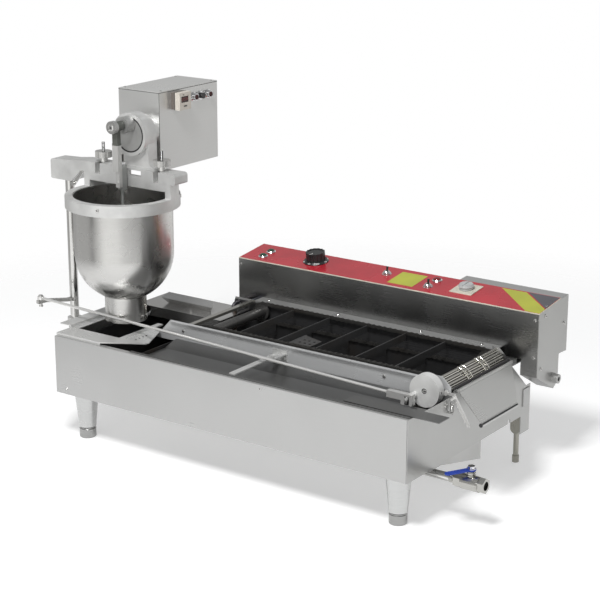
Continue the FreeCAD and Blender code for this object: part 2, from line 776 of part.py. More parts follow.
def chain_outline(radius, face):
    """Round-ended solid that a chain's inside or outside follows."""
    low = d.shaft_z - radius
    slab = box(d.idler_x, face, low, d.shaft_x - d.idler_x, d.chain_width, 2 * radius)
    left = bar("Y", d.idler_x, face, d.shaft_z, radius, d.chain_width)
    right = bar("Y", d.shaft_x, face, d.shaft_z, radius, d.chain_width)
    return join(slab, left, right)


def make_chains():
    """Two chain loops, each drawn as a round-ended band."""
    loops = []
    for face in (d.chain_front, d.chain_rear):
        band = cut(chain_outline(d.chain_outer, face), chain_outline(d.chain_inner, face))
        loops.append(band)
    return keep("conveyor_chains", group(*loops))


def make_flights():
    """Pusher bars across both chains, hanging from the upper run and under the lower run."""
    start = d.chain_front + d.chain_width + 0.4
    width = d.chain_rear - start - 0.4
    bars = []
    for index in range(5):
        x = d.flight_start + index * d.flight_pitch
        bars.append(box(x, start, d.shaft_z + 4, 2, width, 15))
    for index in range(6):
        x = d.flight_start - 46 + index * d.flight_pitch
        bars.append(box(x, start, d.shaft_z - 36, 2, width, 17))
    return keep("conveyor_flights", group(*bars))


def make_bearings():
    """Flanged bearings of both shafts; the idler's front one sits inside its side plate."""
    behind = d.plate_rear + d.sheet_thick
    places = [
        (d.shaft_x, d.plate_front - 6, 6), (d.shaft_x, behind, 6), (d.idler_x, behind, 6),
        (d.idler_x, d.plate_front + d.sheet_thick, 5.4),
    ]
    rings = []
    for x, face, length in places:
        rings.append(tube("Y", x, face, d.shaft_z, 13, d.shaft_radius + 0.03, length))
    return keep("shaft_bearings", group(*rings))


def make_frame_crossbars():
    """Everything that spans the side plates: left bar, discharge rods and slat."""
    start = d.plate_front + d.sheet_thick
    length = d.plate_rear - start
    pieces = [box(226, start, 243, 11, length, 6), box(843.5, start, 212, 1.5, length, 13)]
    for x, z in ((820, 251), (829, 246), (836.5, 239.5), (842, 231.5)):
        rod = bar("Y", x, start, z, 2.6, length)
        knuckles = [bar("Y", x, y, z, 3.7, 7) for y in (228, 291)]
        pieces.append(join(rod, *knuckles))
    return keep("frame_crossbars", group(*pieces))


def make_flipper():
    """Perforated turning plate on its pin."""
    body = plate("XY", 238, 1.5, [(450, 172), (450, 255), (498, 240), (498, 186)])
    holes = []
    for column in range(3):
        for row in range(3):
            holes.append((464 + 12 * column, 197 + 16 * row, 3))
    pocket(body, "XY", 230, 20, None, holes)
    pin = bar("Y", 448, d.plate_front + d.sheet_thick + 0.3, 237, 3, 100)
    return keep("flipper", join(body, pin))


def make_clutch_disc():
    """Drive disc on the shaft's end, with its screw holes, pin boss and crank pin."""
    x, y, z = d.shaft_x, d.disc_front, d.shaft_z
    pin_x = x + d.disc_pin_x
    pin_z = z + d.disc_pin_z
    disc = bar("Y", x, y, z, d.disc_radius, d.disc_thick)
    bore = bar("Y", x, y + 3, z, d.shaft_radius + 0.02, d.disc_thick)
    screw = bar("Y", x, y - 1, z, 4, 3)
    grub = bar("X", x + 16, y + 10, z, 2.2, 20)
    boss = bar("Y", pin_x, d.rod_right_y + 8, pin_z, 6, y - d.rod_right_y - 7)
    pin = bar("Y", pin_x, d.rod_right_y - 8, pin_z, 3, 18)
    return keep("clutch_disc", join(cut(disc, bore, screw, grub), boss, pin))


def make_push_rod():
    """Long rod: an eye on the lever pin and an open fork over the clutch pin."""
    pin_x = d.shaft_x + d.disc_pin_x
    pin_z = d.shaft_z + d.disc_pin_z
    left = Vector(d.arm_pin_x.number, d.arm_pin_y.number, d.rod_left_z.number)
    right = Vector(pin_x.number, d.rod_right_y.number, pin_z.number + 1)
    long_rod = bar("Z", d.arm_pin_x, d.arm_pin_y, d.rod_left_z, d.rod_radius, (right - left).Length - 40)
    slope = Rotation(Vector(0, 0, 1), right - left)
    put(long_rod, d.arm_pin_x, d.arm_pin_y, d.rod_left_z, slope)
    eye = bar("Z", d.arm_pin_x, d.arm_pin_y, d.rod_left_z - 3.3, 7, 6.6)
    eye_hole = bar("Z", d.arm_pin_x, d.arm_pin_y, d.rod_left_z - 10, 3.3, 20)
    block = box(pin_x - 44, d.rod_right_y - 6, pin_z - 5, 32, 12, 13)
    fork = box(pin_x - 13, d.rod_right_y - 6, pin_z - 13, 24, 12, 21)
    slot = box(pin_x - 5.2, d.rod_right_y - 8, pin_z - 17, 10.4, 16, 21)
    return keep("push_rod", cut(join(long_rod, eye, block, fork), eye_hole, slot))


def make_pawl():
    """Release pawl: a bent strip over the end wall's edge, with a lug for the spring."""
    strip = [(834, 225), (852, 224), (886, 170), (892, 174), (857, 230), (834, 231)]
    body = plate("XZ", 149.5, 2, strip)
    hub = bar("Y", 838, 148.6, 228, 5, 3)
    pin = bar("Y", 838, 150, 228, 2.5, 5.3)
    lug = bar("Y", 856, 140, 221, 2, 10)
    return keep("drive_pawl", join(body, hub, pin, lug))


def make_pawl_spring():
    """Small spring under the pawl's lug, a helix of arcs of a quarter turn."""
    coil_radius = 3.2
    wire = 0.55
    turns = 9
    pitch = 2.1
    axis_x, axis_y, base_z = 856.0, 143.0, 197.2

    def on_coil(angle):
        return Vector(
            axis_x + coil_radius * math.cos(angle),
            axis_y + coil_radius * math.sin(angle),
            base_z + pitch * angle / (2 * math.pi))

    arcs = []
    step = math.pi / 2
    for index in range(4 * turns):
        start = index * step
        arc = Part.Arc(on_coil(start), on_coil(start + step / 2), on_coil(start + step))
        arcs.append(arc.toShape())
    path = Part.Wire(arcs)
    ring = Part.Wire(Part.Circle(on_coil(0), Vector(0, 1, 0), wire).toShape())
    print("pawl spring least gap", round(pitch - 2 * wire, 2))
    return keep("pawl_spring", shaped(path.makePipeShell([ring], True, False)))


def make_chute():
    """Discharge chute: a tapered sheet with a rolled lower edge, on a hinge barrel."""
    reach = 76.0
    top_width = (166, 366)
    low_width = (166, 300)
    sheet_edge = [(2, top_width[0]), (2, top_width[1]), (reach, low_width[1]), (reach, low_width[0])]
    body = plate("XY", -0.75, 1.5, sheet_edge)
    roll = bar("Y", reach, 162, 0, 4, 138)
    barrel = bar("Y", 0, 166, 0, 3.4, 200)
    hinge_bore = bar("Y", 0, 160, 0, 1.9, 220)
    roll_bore = bar("Y", reach, 160, 0, 2.8, 142)
    slope = Rotation(Vector(0, 1, 0), 47)
    sheet = cut(join(body, barrel, roll), hinge_bore, roll_bore)
    return keep("discharge_chute", sheet, Size(855), Size(0), 231, slope)


# Heating

def make_heating_element():
    """One bent tube over the rear cover and along the tank floor, with the thermostat's bulb."""
    near, far = 345.0, 190.0
    depth, height = 140.0, 240.0
    route = [
        Vector(195, 402, height), Vector(195, near, height), Vector(195, near, depth),
        Vector(800, near, depth), Vector(800, far, depth), Vector(215, far, depth),
        Vector(215, near - 20, depth), Vector(215, near - 20, height), Vector(215, 402, height),
    ]
    element = shaped(pipe_through(route, 10, 4))
    bulb = bar("X", 420, near, depth + 9.5, 3, 90)
    clips = [box(x, near - 3.5, depth + 4, 6, 7, 5) for x in (432, 490)]
    return keep("heating_element", group(element, join(bulb, *clips)))


# Post and lever

def make_post_bracket():
    """Bracket on the left end plate that carries the post's socket and its clamp collar."""
    x, y = d.post_x, d.post_y
    hook = box(-30, 50, 230, 30, 165, 2)
    back = box(-3, 50, 112, 3, 165, 118)
    shelf = box(x, y - 14, 112, -3 - x, 28, 4)
    rib = box(x, y - 3, 116, -3 - x, 6, 50)
    socket = bar("Z", x, y, 112, 14, 78)
    collar = bar("Z", x, y, 190, 16, 13)
    bore = bar("Z", x, y, 115, d.post_radius + 0.03, 100)
    screw_hole = bar("X", x + 8, y, 196.5, 2.52, 12)
    return keep("post_bracket", cut(join(hook, back, shelf, rib, socket, collar), bore, screw_hole))


def make_post_tube():
    """Post: a tube with a slot for the lever arm."""
    low = 115
    wall = tube("Z", d.post_x, d.post_y, low, d.post_radius, d.post_bore, 543 - low)
    slot = box(d.post_x - 8, d.post_y - 12, d.arm_z - 4, 16, 9, 8)
    return keep("post_tube", cut(wall, slot))


def make_rock_shaft():
    """Rock shaft inside the post, with the short lever that the head drive pushes."""
    shaft = bar("Z", d.post_x, d.post_y, 120, 6, 424.5)
    hub = bar("Z", d.post_x, d.post_y, 544.5, 9, 5)
    arm = box(d.post_x, d.post_y - 4, 544.5, 24, 8, 5)
    end = bar("Z", d.post_x + 24, d.post_y, 544.5, 4, 5)
    return keep("rock_shaft", join(shaft, hub, arm, end))


def make_lever_arm():
    """Cranked arm from the rock shaft to the pin of the push rod."""
    reach_x = d.arm_pin_x - d.post_x
    reach_y = d.arm_pin_y - d.post_y
    length = math.hypot(reach_x.number, reach_y.number)
    half = d.arm_thick.number / 2
    rise = 10.0
    tip = length + 9
    profile = [
        (5, -half), (18, -half), (length - 12, rise - half), (tip, rise - half),
        (tip, rise + half), (length - 12, rise + half), (18, half), (5, half),
    ]
    arm = plate("XZ", -4, 8, profile)
    pin = bar("Z", length, 0, rise - 11, 3, 25)
    head = bar("Z", length, 0, rise + 11.4, 4.6, 2.6)
    collar = bar("Z", length, 0, rise - 11, 4.2, 3)
    shaft_room = bar("Z", 0, 0, -10, 6, 20)
    turn = Rotation(Vector(0, 0, 1), math.degrees(math.atan2(reach_y.number, reach_x.number)))
    lever = cut(join(arm, pin, head, collar), shaft_room)
    return keep("lever_arm", lever, d.post_x, d.post_y, d.arm_z, turn)


# Hopper

def stud_places():
    return (d.hopper_x - d.stud_gap, d.hopper_x + d.stud_gap)


def holder_catch():
    """Diagonal catch between the clamp block and the holder, with its knob."""
    strip = plate("XZ", 145.8, 3, [(-72, 503), (-66, 500), (-40, 532), (-46, 535)])
    knob = bar("Y", -66, 140, 505, 4.5, 6)
    return join(strip, knob)


def make_hopper_holder():
    """Ring, two lugs and the beam that hangs under the head flange, with studs and catch."""
    x, y = d.hopper_x, d.hopper_y
    ring_height = d.ring_top - d.ring_bottom
    ring = bar("Z", x, y, d.ring_bottom, d.ring_outer, ring_height)
    depth = d.beam_rear - d.beam_front
    beam = box(-40, d.beam_front, d.holder_beam_bottom, d.beam_end + 35, depth, 15.8)
    lug_height = d.flange_bottom - 0.2 - d.ring_bottom
    left = box(-40, d.beam_front, d.ring_bottom, 24, depth, lug_height)
    right = box(168, d.beam_front, d.ring_bottom, 30, depth, lug_height)
    round_end = bar("Z", x, y, d.ring_bottom, d.ring_outer, lug_height)
    bridge = common(join(beam, left, right), round_end)
    room = bar("Z", x, y, d.ring_bottom - 1, d.ring_inner, d.holder_beam_bottom - d.ring_bottom + 1)
    window = box(50, d.beam_front + d.web, d.holder_beam_bottom - 1, 62, depth, 20)
    studs = [bar("Z", sx, d.post_y, 518, d.stud_radius, 79) for sx in stud_places()]
    return keep("hopper_holder", join(cut(join(ring, bridge), room, window), *studs))


def make_hopper():
    """Spun hopper: straight wall, round bottom and a collar for the cylinder."""
    outer = d.hopper_radius
    inner = outer - d.hopper_wall
    top = d.hopper_top
    straight = tube("Z", d.hopper_x, d.hopper_y, d.hopper_bowl, outer, inner, top - d.hopper_bowl)
    balls = []
    for radius in (outer, inner):
        ball = doc.addObject("Part::Sphere", "Bowl")
        ball.Radius = radius.number
        bind(ball, "Radius", radius)
        ball.Angle1 = -90
        ball.Angle2 = 0
        put(ball, d.hopper_x, d.hopper_y, d.hopper_bowl)
        balls.append(ball)
    bowl = cut(balls[0], balls[1])
    outlet = bar("Z", d.hopper_x, d.hopper_y, d.hopper_bowl - outer - 2, d.cylinder_bore, 40)
    below = bar("Z", d.hopper_x, d.hopper_y, d.cylinder_bottom, 90, d.cylinder_top - d.cylinder_bottom)
    seat = bar("Z", d.hopper_x, d.hopper_y, d.cylinder_top, d.cylinder_radius, 2.5)
    return keep("hopper", cut(join(straight, bowl, seat), outlet, below))


def make_batter_cylinder():
    """Measuring cylinder under the hopper, with a rim at its lower edge."""
    x, y = d.hopper_x, d.hopper_y
    length = d.cylinder_top - d.cylinder_bottom
    wall = bar("Z", x, y, d.cylinder_bottom, d.cylinder_radius, length)
    rim = bar("Z", x, y, d.cylinder_bottom, d.cylinder_radius + 1.2, 4)
    bore = bar("Z", x, y, d.cylinder_bottom - 1, d.cylinder_bore, length + 2)
    threads = [bar("X", x - 48, y, 252, 2.5, 96)]
    return keep("batter_cylinder", cut(join(wall, rim), bore, *threads))


def make_plunger():
    """Plunger: piston, forming disc and rod, with the block that clamps its top."""
    x, y = d.hopper_x, d.hopper_y
    fit = d.cylinder_bore - 0.06
    rod = bar("Z", x, y, d.cylinder_bottom, 3, 524 - d.cylinder_bottom)
    disc = bar("Z", x, y, d.cylinder_bottom, fit, 3)
    piston = bar("Z", x, y, d.cylinder_top - 6, fit, 5.5)
    hub = bar("Z", x, y, d.cylinder_top - 0.6, 9, 12)
    block = box(x - 6, y - 7, 512, 13, 14, 52)
    bolt = bar("Z", x + 1, y, 564, 2, 22)
    nut = hexagon("Z", x + 1, y, 567, 8, 5)
    return keep("plunger", join(rod, disc, piston, hub, block, bolt, nut))


# Head

def add_arch_fillets(body, radius):
    """Hollow roundings where the housing stands on the flange."""
    depth = d.beam_rear - d.arch_front
    for side in (-1, 1):
        foot = d.hopper_x + side * d.arch_radius
        centre = d.hopper_x + side * (d.arch_radius + radius)
        near, far = (foot - 2, centre) if side > 0 else (centre, foot + 2)
        corner = rectangle(near, d.flange_top - 2, far, d.flange_top + radius)
        pad(body, "XZ", d.arch_front, depth, corner)
        round_out = [(centre, d.flange_top + radius, radius)]
        pocket(body, "XZ", d.arch_front - 1, depth + 2, None, round_out)


def make_head_casting():
    """Clamp block, flange and gear housing in one casting."""
    x = d.hopper_x
    depth = d.beam_rear - d.beam_front
    edge = [
        (-134, 508), (-134, 550), (-84, 552), (-50, d.flange_top), (d.beam_end, d.flange_top),
        (d.beam_end, d.flange_bottom), (-50, d.flange_bottom), (-78, 508),
    ]
    body = plate("XZ", d.beam_front, depth, edge)
    soften(body, 6, [(-134, 550), (d.beam_end.number, d.flange_top.number)])
    soften(body, 4, [(-134, 508), (d.beam_end.number, d.flange_bottom.number)])
    arch_low = d.flange_top - 10
    arch_depth = d.arch_rear - d.arch_front
    legs = rectangle(x - d.arch_radius, arch_low, x + d.arch_radius, d.crank_z)
    pad(body, "XZ", d.arch_front, arch_depth, legs)
    pad(body, "XZ", d.arch_front, arch_depth, None, [(x, d.crank_z, d.arch_radius)])
    add_arch_fillets(body, 13)
    pad(body, "XZ", d.boss_front, 30, None, [(x, d.crank_z, d.boss_radius)])
    pad(body, "XZ", d.arch_rear - 1, d.box_front - d.arch_rear + 1, None, [(x, d.crank_z, 32)])
    pocket(body, "XZ", d.boss_front - 1, 10, None, [(x, d.crank_z, d.crank_radius + 1.5)])
    pocket(body, "XZ", d.boss_front, 70, None, [(x, d.crank_z, 8.05)])
    pocket(body, "XZ", d.beam_front - 1, 20, rectangle(79, 541, 115, 553))
    window = rectangle(50, d.flange_bottom - 1, 115, 552.5)
    pocket(body, "XZ", d.beam_front + d.web, 60, window)
    for stud in stud_places():
        slot = rectangle(stud - 6.5, d.beam_front - 1, stud + 6.5, d.post_y + 4.5)
        pocket(body, "XY", d.flange_bottom - 1, 30, slot)
    pocket(body, "XY", 500, 43.6, None, [(d.post_x, d.post_y, d.post_radius + 0.03)])
    lever_room = rectangle(d.post_x - 12, d.post_y - 12, -60, d.beam_rear - 6)
    pocket(body, "XY", 543.6, 7, lever_room)
    return keep("head_casting", body)


def make_clamp_nut(side, x):
    """Knurled nut: a small collar under a ribbed head."""
    bore = d.stud_radius + 0.02
    collar = bar("Z", x, d.post_y, d.flange_top + 0.05, 8.3, 10)
    head = bar("Z", x, d.post_y, d.flange_top + 9.5, d.nut_radius, 12.5)
    grooves = []
    count = 32
    for index in range(count):
        angle = 2 * math.pi * index / count
        groove_x = x + (d.nut_radius + 0.6) * math.cos(angle)
        groove_y = d.post_y + (d.nut_radius + 0.6) * math.sin(angle)
        grooves.append(bar("Z", groove_x, groove_y, d.flange_top + 9, 1.2, 14))
    hole = bar("Z", x, d.post_y, d.flange_top - 1, bore, 40)
    return keep(f"{side}_clamp_nut", cut(join(collar, head), hole, *grooves))


def make_crank_disc():
    """Crank disc with its shaft stub, pin boss, crank pin and cap nut."""
    x, z = d.hopper_x, d.crank_z
    pin_z = z + d.crank_throw
    disc = bar("Y", x, d.boss_front + 0.5, z, d.crank_radius, 8)
    shaft = bar("Y", x, d.boss_front + 8, z, 8, 60)
    boss = bar("Y", x, 139.5, pin_z, 17, 21.2)
    foot = bar("Y", x, 160, pin_z, 11.5, 3)
    pin = bar("Y", x, 111, pin_z, 4, 30)
    cap = cut(bar("Y", x, 107, pin_z, 13, 9.7), bar("Y", x, 111, pin_z, 4, 7))
    return keep("crank_disc", group(join(disc, shaft, foot, boss, pin), cap))


def make_connecting_rod():
    """Flat rod from the crank pin down to the crosshead's plane."""
    x, y = d.hopper_x, 117
    top = d.crank_z + d.crank_throw
    eye = bar("Y", x, y, top, 10, 21)
    neck = box(x - 6.5, y, top - 38, 13, 11, 38)
    shank = box(x - 7.5, y, top - 92, 15, 11.5, 58)
    tongue = box(x - 2, y + 2, 520, 10, 9, 34)
    pin = bar("Y", x + 3, y + 1, 530, 3, 10.3)
    hole = bar("Y", x, y - 3, top, 4.04, 30)
    return keep("connecting_rod", cut(join(eye, neck, shank, tongue, pin), hole))


def make_head_box():
    """Folded box of the head drive, open at the top."""
    thick = d.box_sheet
    outside = rectangle(0, d.box_front, d.box_right, d.box_rear)
    inside = rectangle(thick, d.box_front + thick, d.box_right - thick, d.box_rear - thick)
    body = plate("XY", d.box_bottom, d.box_top - d.box_bottom, outside)
    pocket(body, "XY", d.box_bottom + thick, 200, inside)
    pocket(body, "XZ", d.box_front - 1, 4, None, [(d.hopper_x, d.crank_z, 14)])
    pocket(body, "YZ", d.box_right - 3, 6, None, [(352, 679, 4.3)])
    return keep("head_box", body)


def make_head_lid():
    """Flat lid with a skirt inside the box."""
    thick = d.box_sheet
    body = plate("XY", d.box_top, 2, rectangle(0, d.box_front, d.box_right, d.box_rear))
    for inset, is_room in ((thick + 0.3, False), (2 * thick + 0.3, True)):
        edge = rectangle(inset, d.box_front + inset, d.box_right - inset, d.box_rear - inset)
        if is_room:
            pocket(body, "XY", d.box_top - 8, 8, edge)
        else:
            pad(body, "XY", d.box_top - 8, 8, edge)
    return keep("head_box_lid", body)


def make_counter():
    """Batch counter on the right face of the head box, with the two lamps beside it."""
    back = box(d.box_right, 258, 662.5, 10, 35.5, 35)
    front = box(d.box_right + 10, 257.5, 662, 13, 36.5, 36)
    window = box(d.box_right + 21, 263, 677, 3, 24, 13)
    lamps = [bar("X", d.box_right, y, 679, 7.5, 9) for y in (330, 377)]
    return keep("counter", group(cut(join(back, front), window), *lamps))


def make_head_button():
    """Push button with its stem through the box."""
    cap = bar("X", d.box_right + 3.5, 352, 679, 6, 7)
    stem = bar("X", d.box_right - 8, 352, 679, 4, 12)
    return keep("head_button", join(cap, stem))


def make_head_gearmotor():
    """Gear motor inside the head box; its output meets the crank shaft."""
    x = d.hopper_x - 18
    gear = box(x - 38, 232, 586, 84, 60, 72)
    motor = bar("Y", x, 292, d.crank_z, 34, 96)
    foot = box(x - 38, 232, d.box_bottom + d.box_sheet, 84, 60, 586 - 540.2)
    bore = bar("Y", d.hopper_x, 220, d.crank_z, 8.3, 13)
    return keep("head_gearmotor", cut(join(gear, motor, foot), bore))


# Control box

def panel_height(y):
    """Top of the sloping panel at a depth."""
    rise = (d.panel_high - d.panel_low) / (d.control_rear - d.control_front)
    return d.panel_low + 1.7 + (y - d.control_front) * rise


def panel_turn():
    rise = (d.panel_high - d.panel_low).number
    run = (d.control_rear - d.control_front).number
    return Rotation(Vector(1, 0, 0), math.degrees(math.atan2(rise, run)))


PANEL_PLACES = {
    "thermostat": (338.4, 447.9),
    "speed": (706.5, 446.0),
    "lamps": [(218.5, 422.0), (218.5, 450.5), (630.0, 460.5)],
    "toggles": [(515.5, 449.5), (628.5, 426.5)],
}


def make_control_box():
    """Long control box with the housing that hangs at its right end, open at the top."""
    thick = d.sheet_thick
    right = d.control_right - thick
    front, rear, low = d.control_front, d.control_rear, d.control_bottom
    outside = [(front, low), (front, d.panel_low), (rear, d.panel_high), (rear, low)]
    inside = [
        (front + thick, low + thick), (front + thick, d.panel_low + 20),
        (rear - thick, d.panel_high + 20), (rear - thick, low + thick),
    ]
    hanging = [(front, 198), (front, low + 3), (rear, low + 3), (rear, 185), (479, 163), (469, 157)]
    hanging_room = [
        (front + thick, 200), (front + thick, low + 4), (rear - thick, low + 4),
        (rear - thick, 186), (478, 165), (469.5, 159.2),
    ]
    body = plate("YZ", d.control_left, right - d.control_left, outside)
    pad(body, "YZ", d.housing_left, right - d.housing_left, hanging)
    pocket(body, "YZ", d.control_left + thick, right - d.control_left, inside)
    pocket(body, "YZ", d.housing_left + thick, right - d.housing_left, hanging_room)
    heater_holes = [(195, 240, 4.4), (215, 240, 4.4)]
    pocket(body, "XZ", front - 1, 4, None, heater_holes)
    return keep("control_box", body)


def make_control_end():
    """Right end plate of the control box, with the gland of the supply cord."""
    profile = [
        (d.control_front, 198), (d.control_front, d.panel_low), (d.control_rear, d.panel_high),
        (d.rear_box_rear, d.rear_box_top), (d.rear_box_rear, d.rear_box_bottom), (d.control_rear, 225),
        (d.control_rear, 185), (479, 163), (469, 157),
    ]
    gland_y, gland_z = 466.0, 180.0
    hole = [(gland_y, gland_z, 4.5)]
    body = plate("YZ", d.control_right - d.sheet_thick, d.sheet_thick, profile)
    pocket(body, "YZ", d.control_right - 3, 5, None, hole)
    barrel = bar("X", d.control_right, gland_y, gland_z, 9.5, 13)
    nut = hexagon("X", d.control_right, gland_y, gland_z, 19, 5)
    bore = bar("X", d.control_right - 1, gland_y, gland_z, 4.5, 20)
    return keep("control_end_plate", group(body, cut(join(barrel, nut), bore)))


def make_control_panel():
    """Sloping top panel with the switch bushes and the dial plate that are screwed to it."""
    low = d.panel_low + 0.05
    high = d.panel_high + 0.05
    profile = [
        (d.control_front, low), (d.control_front, low + 1.65),
        (d.control_rear, high + 1.65), (d.control_rear, high),
    ]
    body = plate("YZ", d.control_left, d.control_right - d.control_left, profile)
    places = PANEL_PLACES
    holes = [(*places[name], 4.7) for name in ("thermostat", "speed")]
    holes += [(*place, 5.7) for place in places["toggles"] + places["lamps"]]
    pocket(body, "XY", 300, 80, None, holes)
    fittings = [toggle_bush(place) for place in places["toggles"]]
    half = d.dial_half.number
    dial = cut(box(-half, -half, 0.15, 2 * half, 2 * half, 1.6), bar("Z", 0, 0, -1, 4.7, 5))
    put(dial, places["speed"][0], places["speed"][1], panel_height(places["speed"][1]), panel_turn())
    return keep("control_panel", group(body, dial, *fittings))


def make_rear_box():
    """Shallow box on the rear of the control box."""
    thick = d.sheet_thick
    front = d.control_rear + 0.05
    length = d.control_right - thick - d.rear_box_left
    outside = [(front, d.rear_box_bottom), (front, d.panel_high + 0.3),
               (d.rear_box_rear, d.rear_box_top), (d.rear_box_rear, d.rear_box_bottom)]
    inside = [(front + thick, d.rear_box_bottom + thick),
              (front + thick, d.panel_high - 1.2),
              (d.rear_box_rear - thick, d.rear_box_top - 1.6),
              (d.rear_box_rear - thick, d.rear_box_bottom + thick)]
    body = plate("YZ", d.rear_box_left, length, outside)
    pocket(body, "YZ", d.rear_box_left + thick, length, inside)
    return keep("rear_box", body)


def keep_on_panel(label, piece, place):
    """Sets a control on the sloping panel; it was drawn upright about its own foot."""
    x, y = place
    height = panel_height(y)
    return keep(label, piece, Size(x), Size(y), height, panel_turn())


def toggle_bush(place):
    """Threaded bush of a toggle switch with its nut."""
    x, y = place
    bush = bar("Z", 0, 0, -12, 5.3, 19)
    nut = hexagon("Z", 0, 0, 0.15, 15, 3.6)
    room = bar("Z", 0, 0, -4, 3.6, 12)
    piece = cut(join(bush, nut), room)
    put(piece, x, y, panel_height(y), panel_turn())
    return piece


def make_thermostat_knob():
    """Fluted knob with a skirt for the figures and a dished top."""
    skirt = cone("Z", 0, 0, 1.2, 27.5, 24, 3.5)
    grip = bar("Z", 0, 0, 4.5, 20.5, 17.5)
    shaft = bar("Z", 0, 0, -14, 4, 16)
    dish = bar("Z", 0, 0, 20.8, 16.5, 3)
    flutes = []
    count = 14
    for index in range(count):
        angle = 2 * math.pi * (index + 0.5) / count
        flutes.append(bar("Z", 22.4 * math.cos(angle), 22.4 * math.sin(angle), 6, 3.2, 18))
    knob = join(cut(join(skirt, grip), dish, *flutes), shaft)
    return keep_on_panel("thermostat_knob", knob, PANEL_PLACES["thermostat"])


def make_speed_knob():
    grip = join(bar("Z", 0, 0, 2.2, 14.5, 6.3), cone("Z", 0, 0, 8.5, 16, 13.5, 4.5))
    slot = box(-1.2, -18, 11.6, 2.4, 36, 3)
    grip = cut(grip, slot)
    shaft = bar("Z", 0, 0, -12, 4, 15)
    return keep_on_panel("speed_knob", join(grip, shaft), PANEL_PLACES["speed"])


def make_pilot_lamps():
    """Three pilot lamps: a wide bezel round a low lens, and a stem through the panel."""
    lamps = []
    for x, y in PANEL_PLACES["lamps"]:
        bezel = join(bar("Z", 0, 0, 0.15, 10.5, 2.3), cone("Z", 0, 0, 2.45, 10.5, 8.6, 2.2))
        lens = bar("Z", 0, 0, 2, 7.3, 3.6)
        stem = bar("Z", 0, 0, -16, 5.2, 18.5)
        lamp = join(bezel, lens, stem)
        put(lamp, x, y, panel_height(y), panel_turn())
        lamps.append(lamp)
    return keep("pilot_lamps", group(*lamps))


def make_toggle_lever(index, place):
    """Bat lever of a toggle switch, leaning to its rest side."""
    ball = sphere(0, 0, 0, 2.8)
    stick = cone("Z", 0, 0, 0, 1.2, 2.6, 16)
    lean = panel_turn().multiply(Rotation(Vector(1, 0, 0), -14))
    x, y = place
    height = panel_height(y)
    return keep(f"toggle_lever_{index}", join(ball, stick), Size(x), Size(y), height, lean)


def screw_at(axis, x, y, z, radius=3.2, rise=1.8):
    """Pan head of a casing screw, standing on its sheet."""
    return bar(axis, x, y, z, radius, rise)


def make_rear_shelf():
    """Shelf on the rear wall with its channel, and a plate on the right tail, for the control box."""
    length = 668
    face = d.body_depth
    back = box(175, face, 150, length, 1.5, 64)
    shelf = box(175, face, 212.5, length, 98, 1.5)
    cheeks = [box(175, y, 212.5, length, 1.5, d.control_bottom - 212.5) for y in (410, 468)]
    top = box(175, 410, d.control_bottom - 1.5, length, 59.5, 1.5)
    tail_plate = box(d.body_length, 430, 120, 2, 26, 36)
    return keep("rear_shelf", group(join(back, shelf, top, *cheeks), tail_plate))


def casing_screws():
    """Screw heads on the rail, the control box, the end plate, the side plate and the rim."""
    heads = [screw_at("Z", x, 384, d.plate_top) for x in (262, 440, 640, 780)]
    heads += [screw_at("Y", x, d.control_front - 1.8, z) for x, z in ((176.5, 313), (887, 313), (887, 238))]
    heads += [screw_at("X", d.control_right, y, z) for y, z in ((412, 213), (423, 318), (504, 284))]
    heads += [screw_at("Y", x, d.plate_front - 1.8, 231) for x in (213, 700)]
    heads += [screw_at("Y", x, -1.2, z, 2.2, 1.2) for x, z in ((524, 214), (28, 112))]
    return heads


def thumb_screws():
    """Screws of the post's collar, the clamp block and the batter cylinder."""
    x, y = d.post_x, d.post_y
    collar_screw = join(bar("X", x + 9.6, y, 196.5, 2.5, 20), bar("X", x + 27, y, 196.5, 5.5, 5))
    block_screw = bar("X", -142, y, 526, 6, 8)
    cup_x, cup_y, cup_z = d.hopper_x, d.hopper_y, 252
    shank = bar("X", cup_x + d.cylinder_bore + 0.4, cup_y, cup_z, 2.45, 12)
    hub = bar("X", cup_x + 44.5, cup_y, cup_z, 4, 5)
    wing = box(cup_x + 46, cup_y - 9, cup_z - 1, 3, 18, 2)
    plain = bar("X", cup_x - 46.5, cup_y, cup_z, 4, 3.4)
    return [collar_screw, block_screw, join(shank, hub, wing), plain]


def ring_screws():
    """Screw heads round the hopper's ring."""
    heads = []
    for angle in (-74, 46, 166):
        head = screw_at("X", d.ring_outer, 0, 0, 3.6, 2)
        around = math.radians(angle)
        x = d.hopper_x + d.ring_outer * math.cos(around)
        y = d.hopper_y + d.ring_outer * math.sin(around)
        outwards = Rotation(Vector(0, 0, 1), Vector(math.cos(around), math.sin(around), 0))
        put(head, x, y, d.ring_bottom + 14, outwards)
        heads.append(head)
    return heads


def make_fasteners():
    """All screws that hold the fixed pieces, as separate solids."""
    return keep("fasteners", group(holder_catch(), *casing_screws(), *thumb_screws(), *ring_screws()))


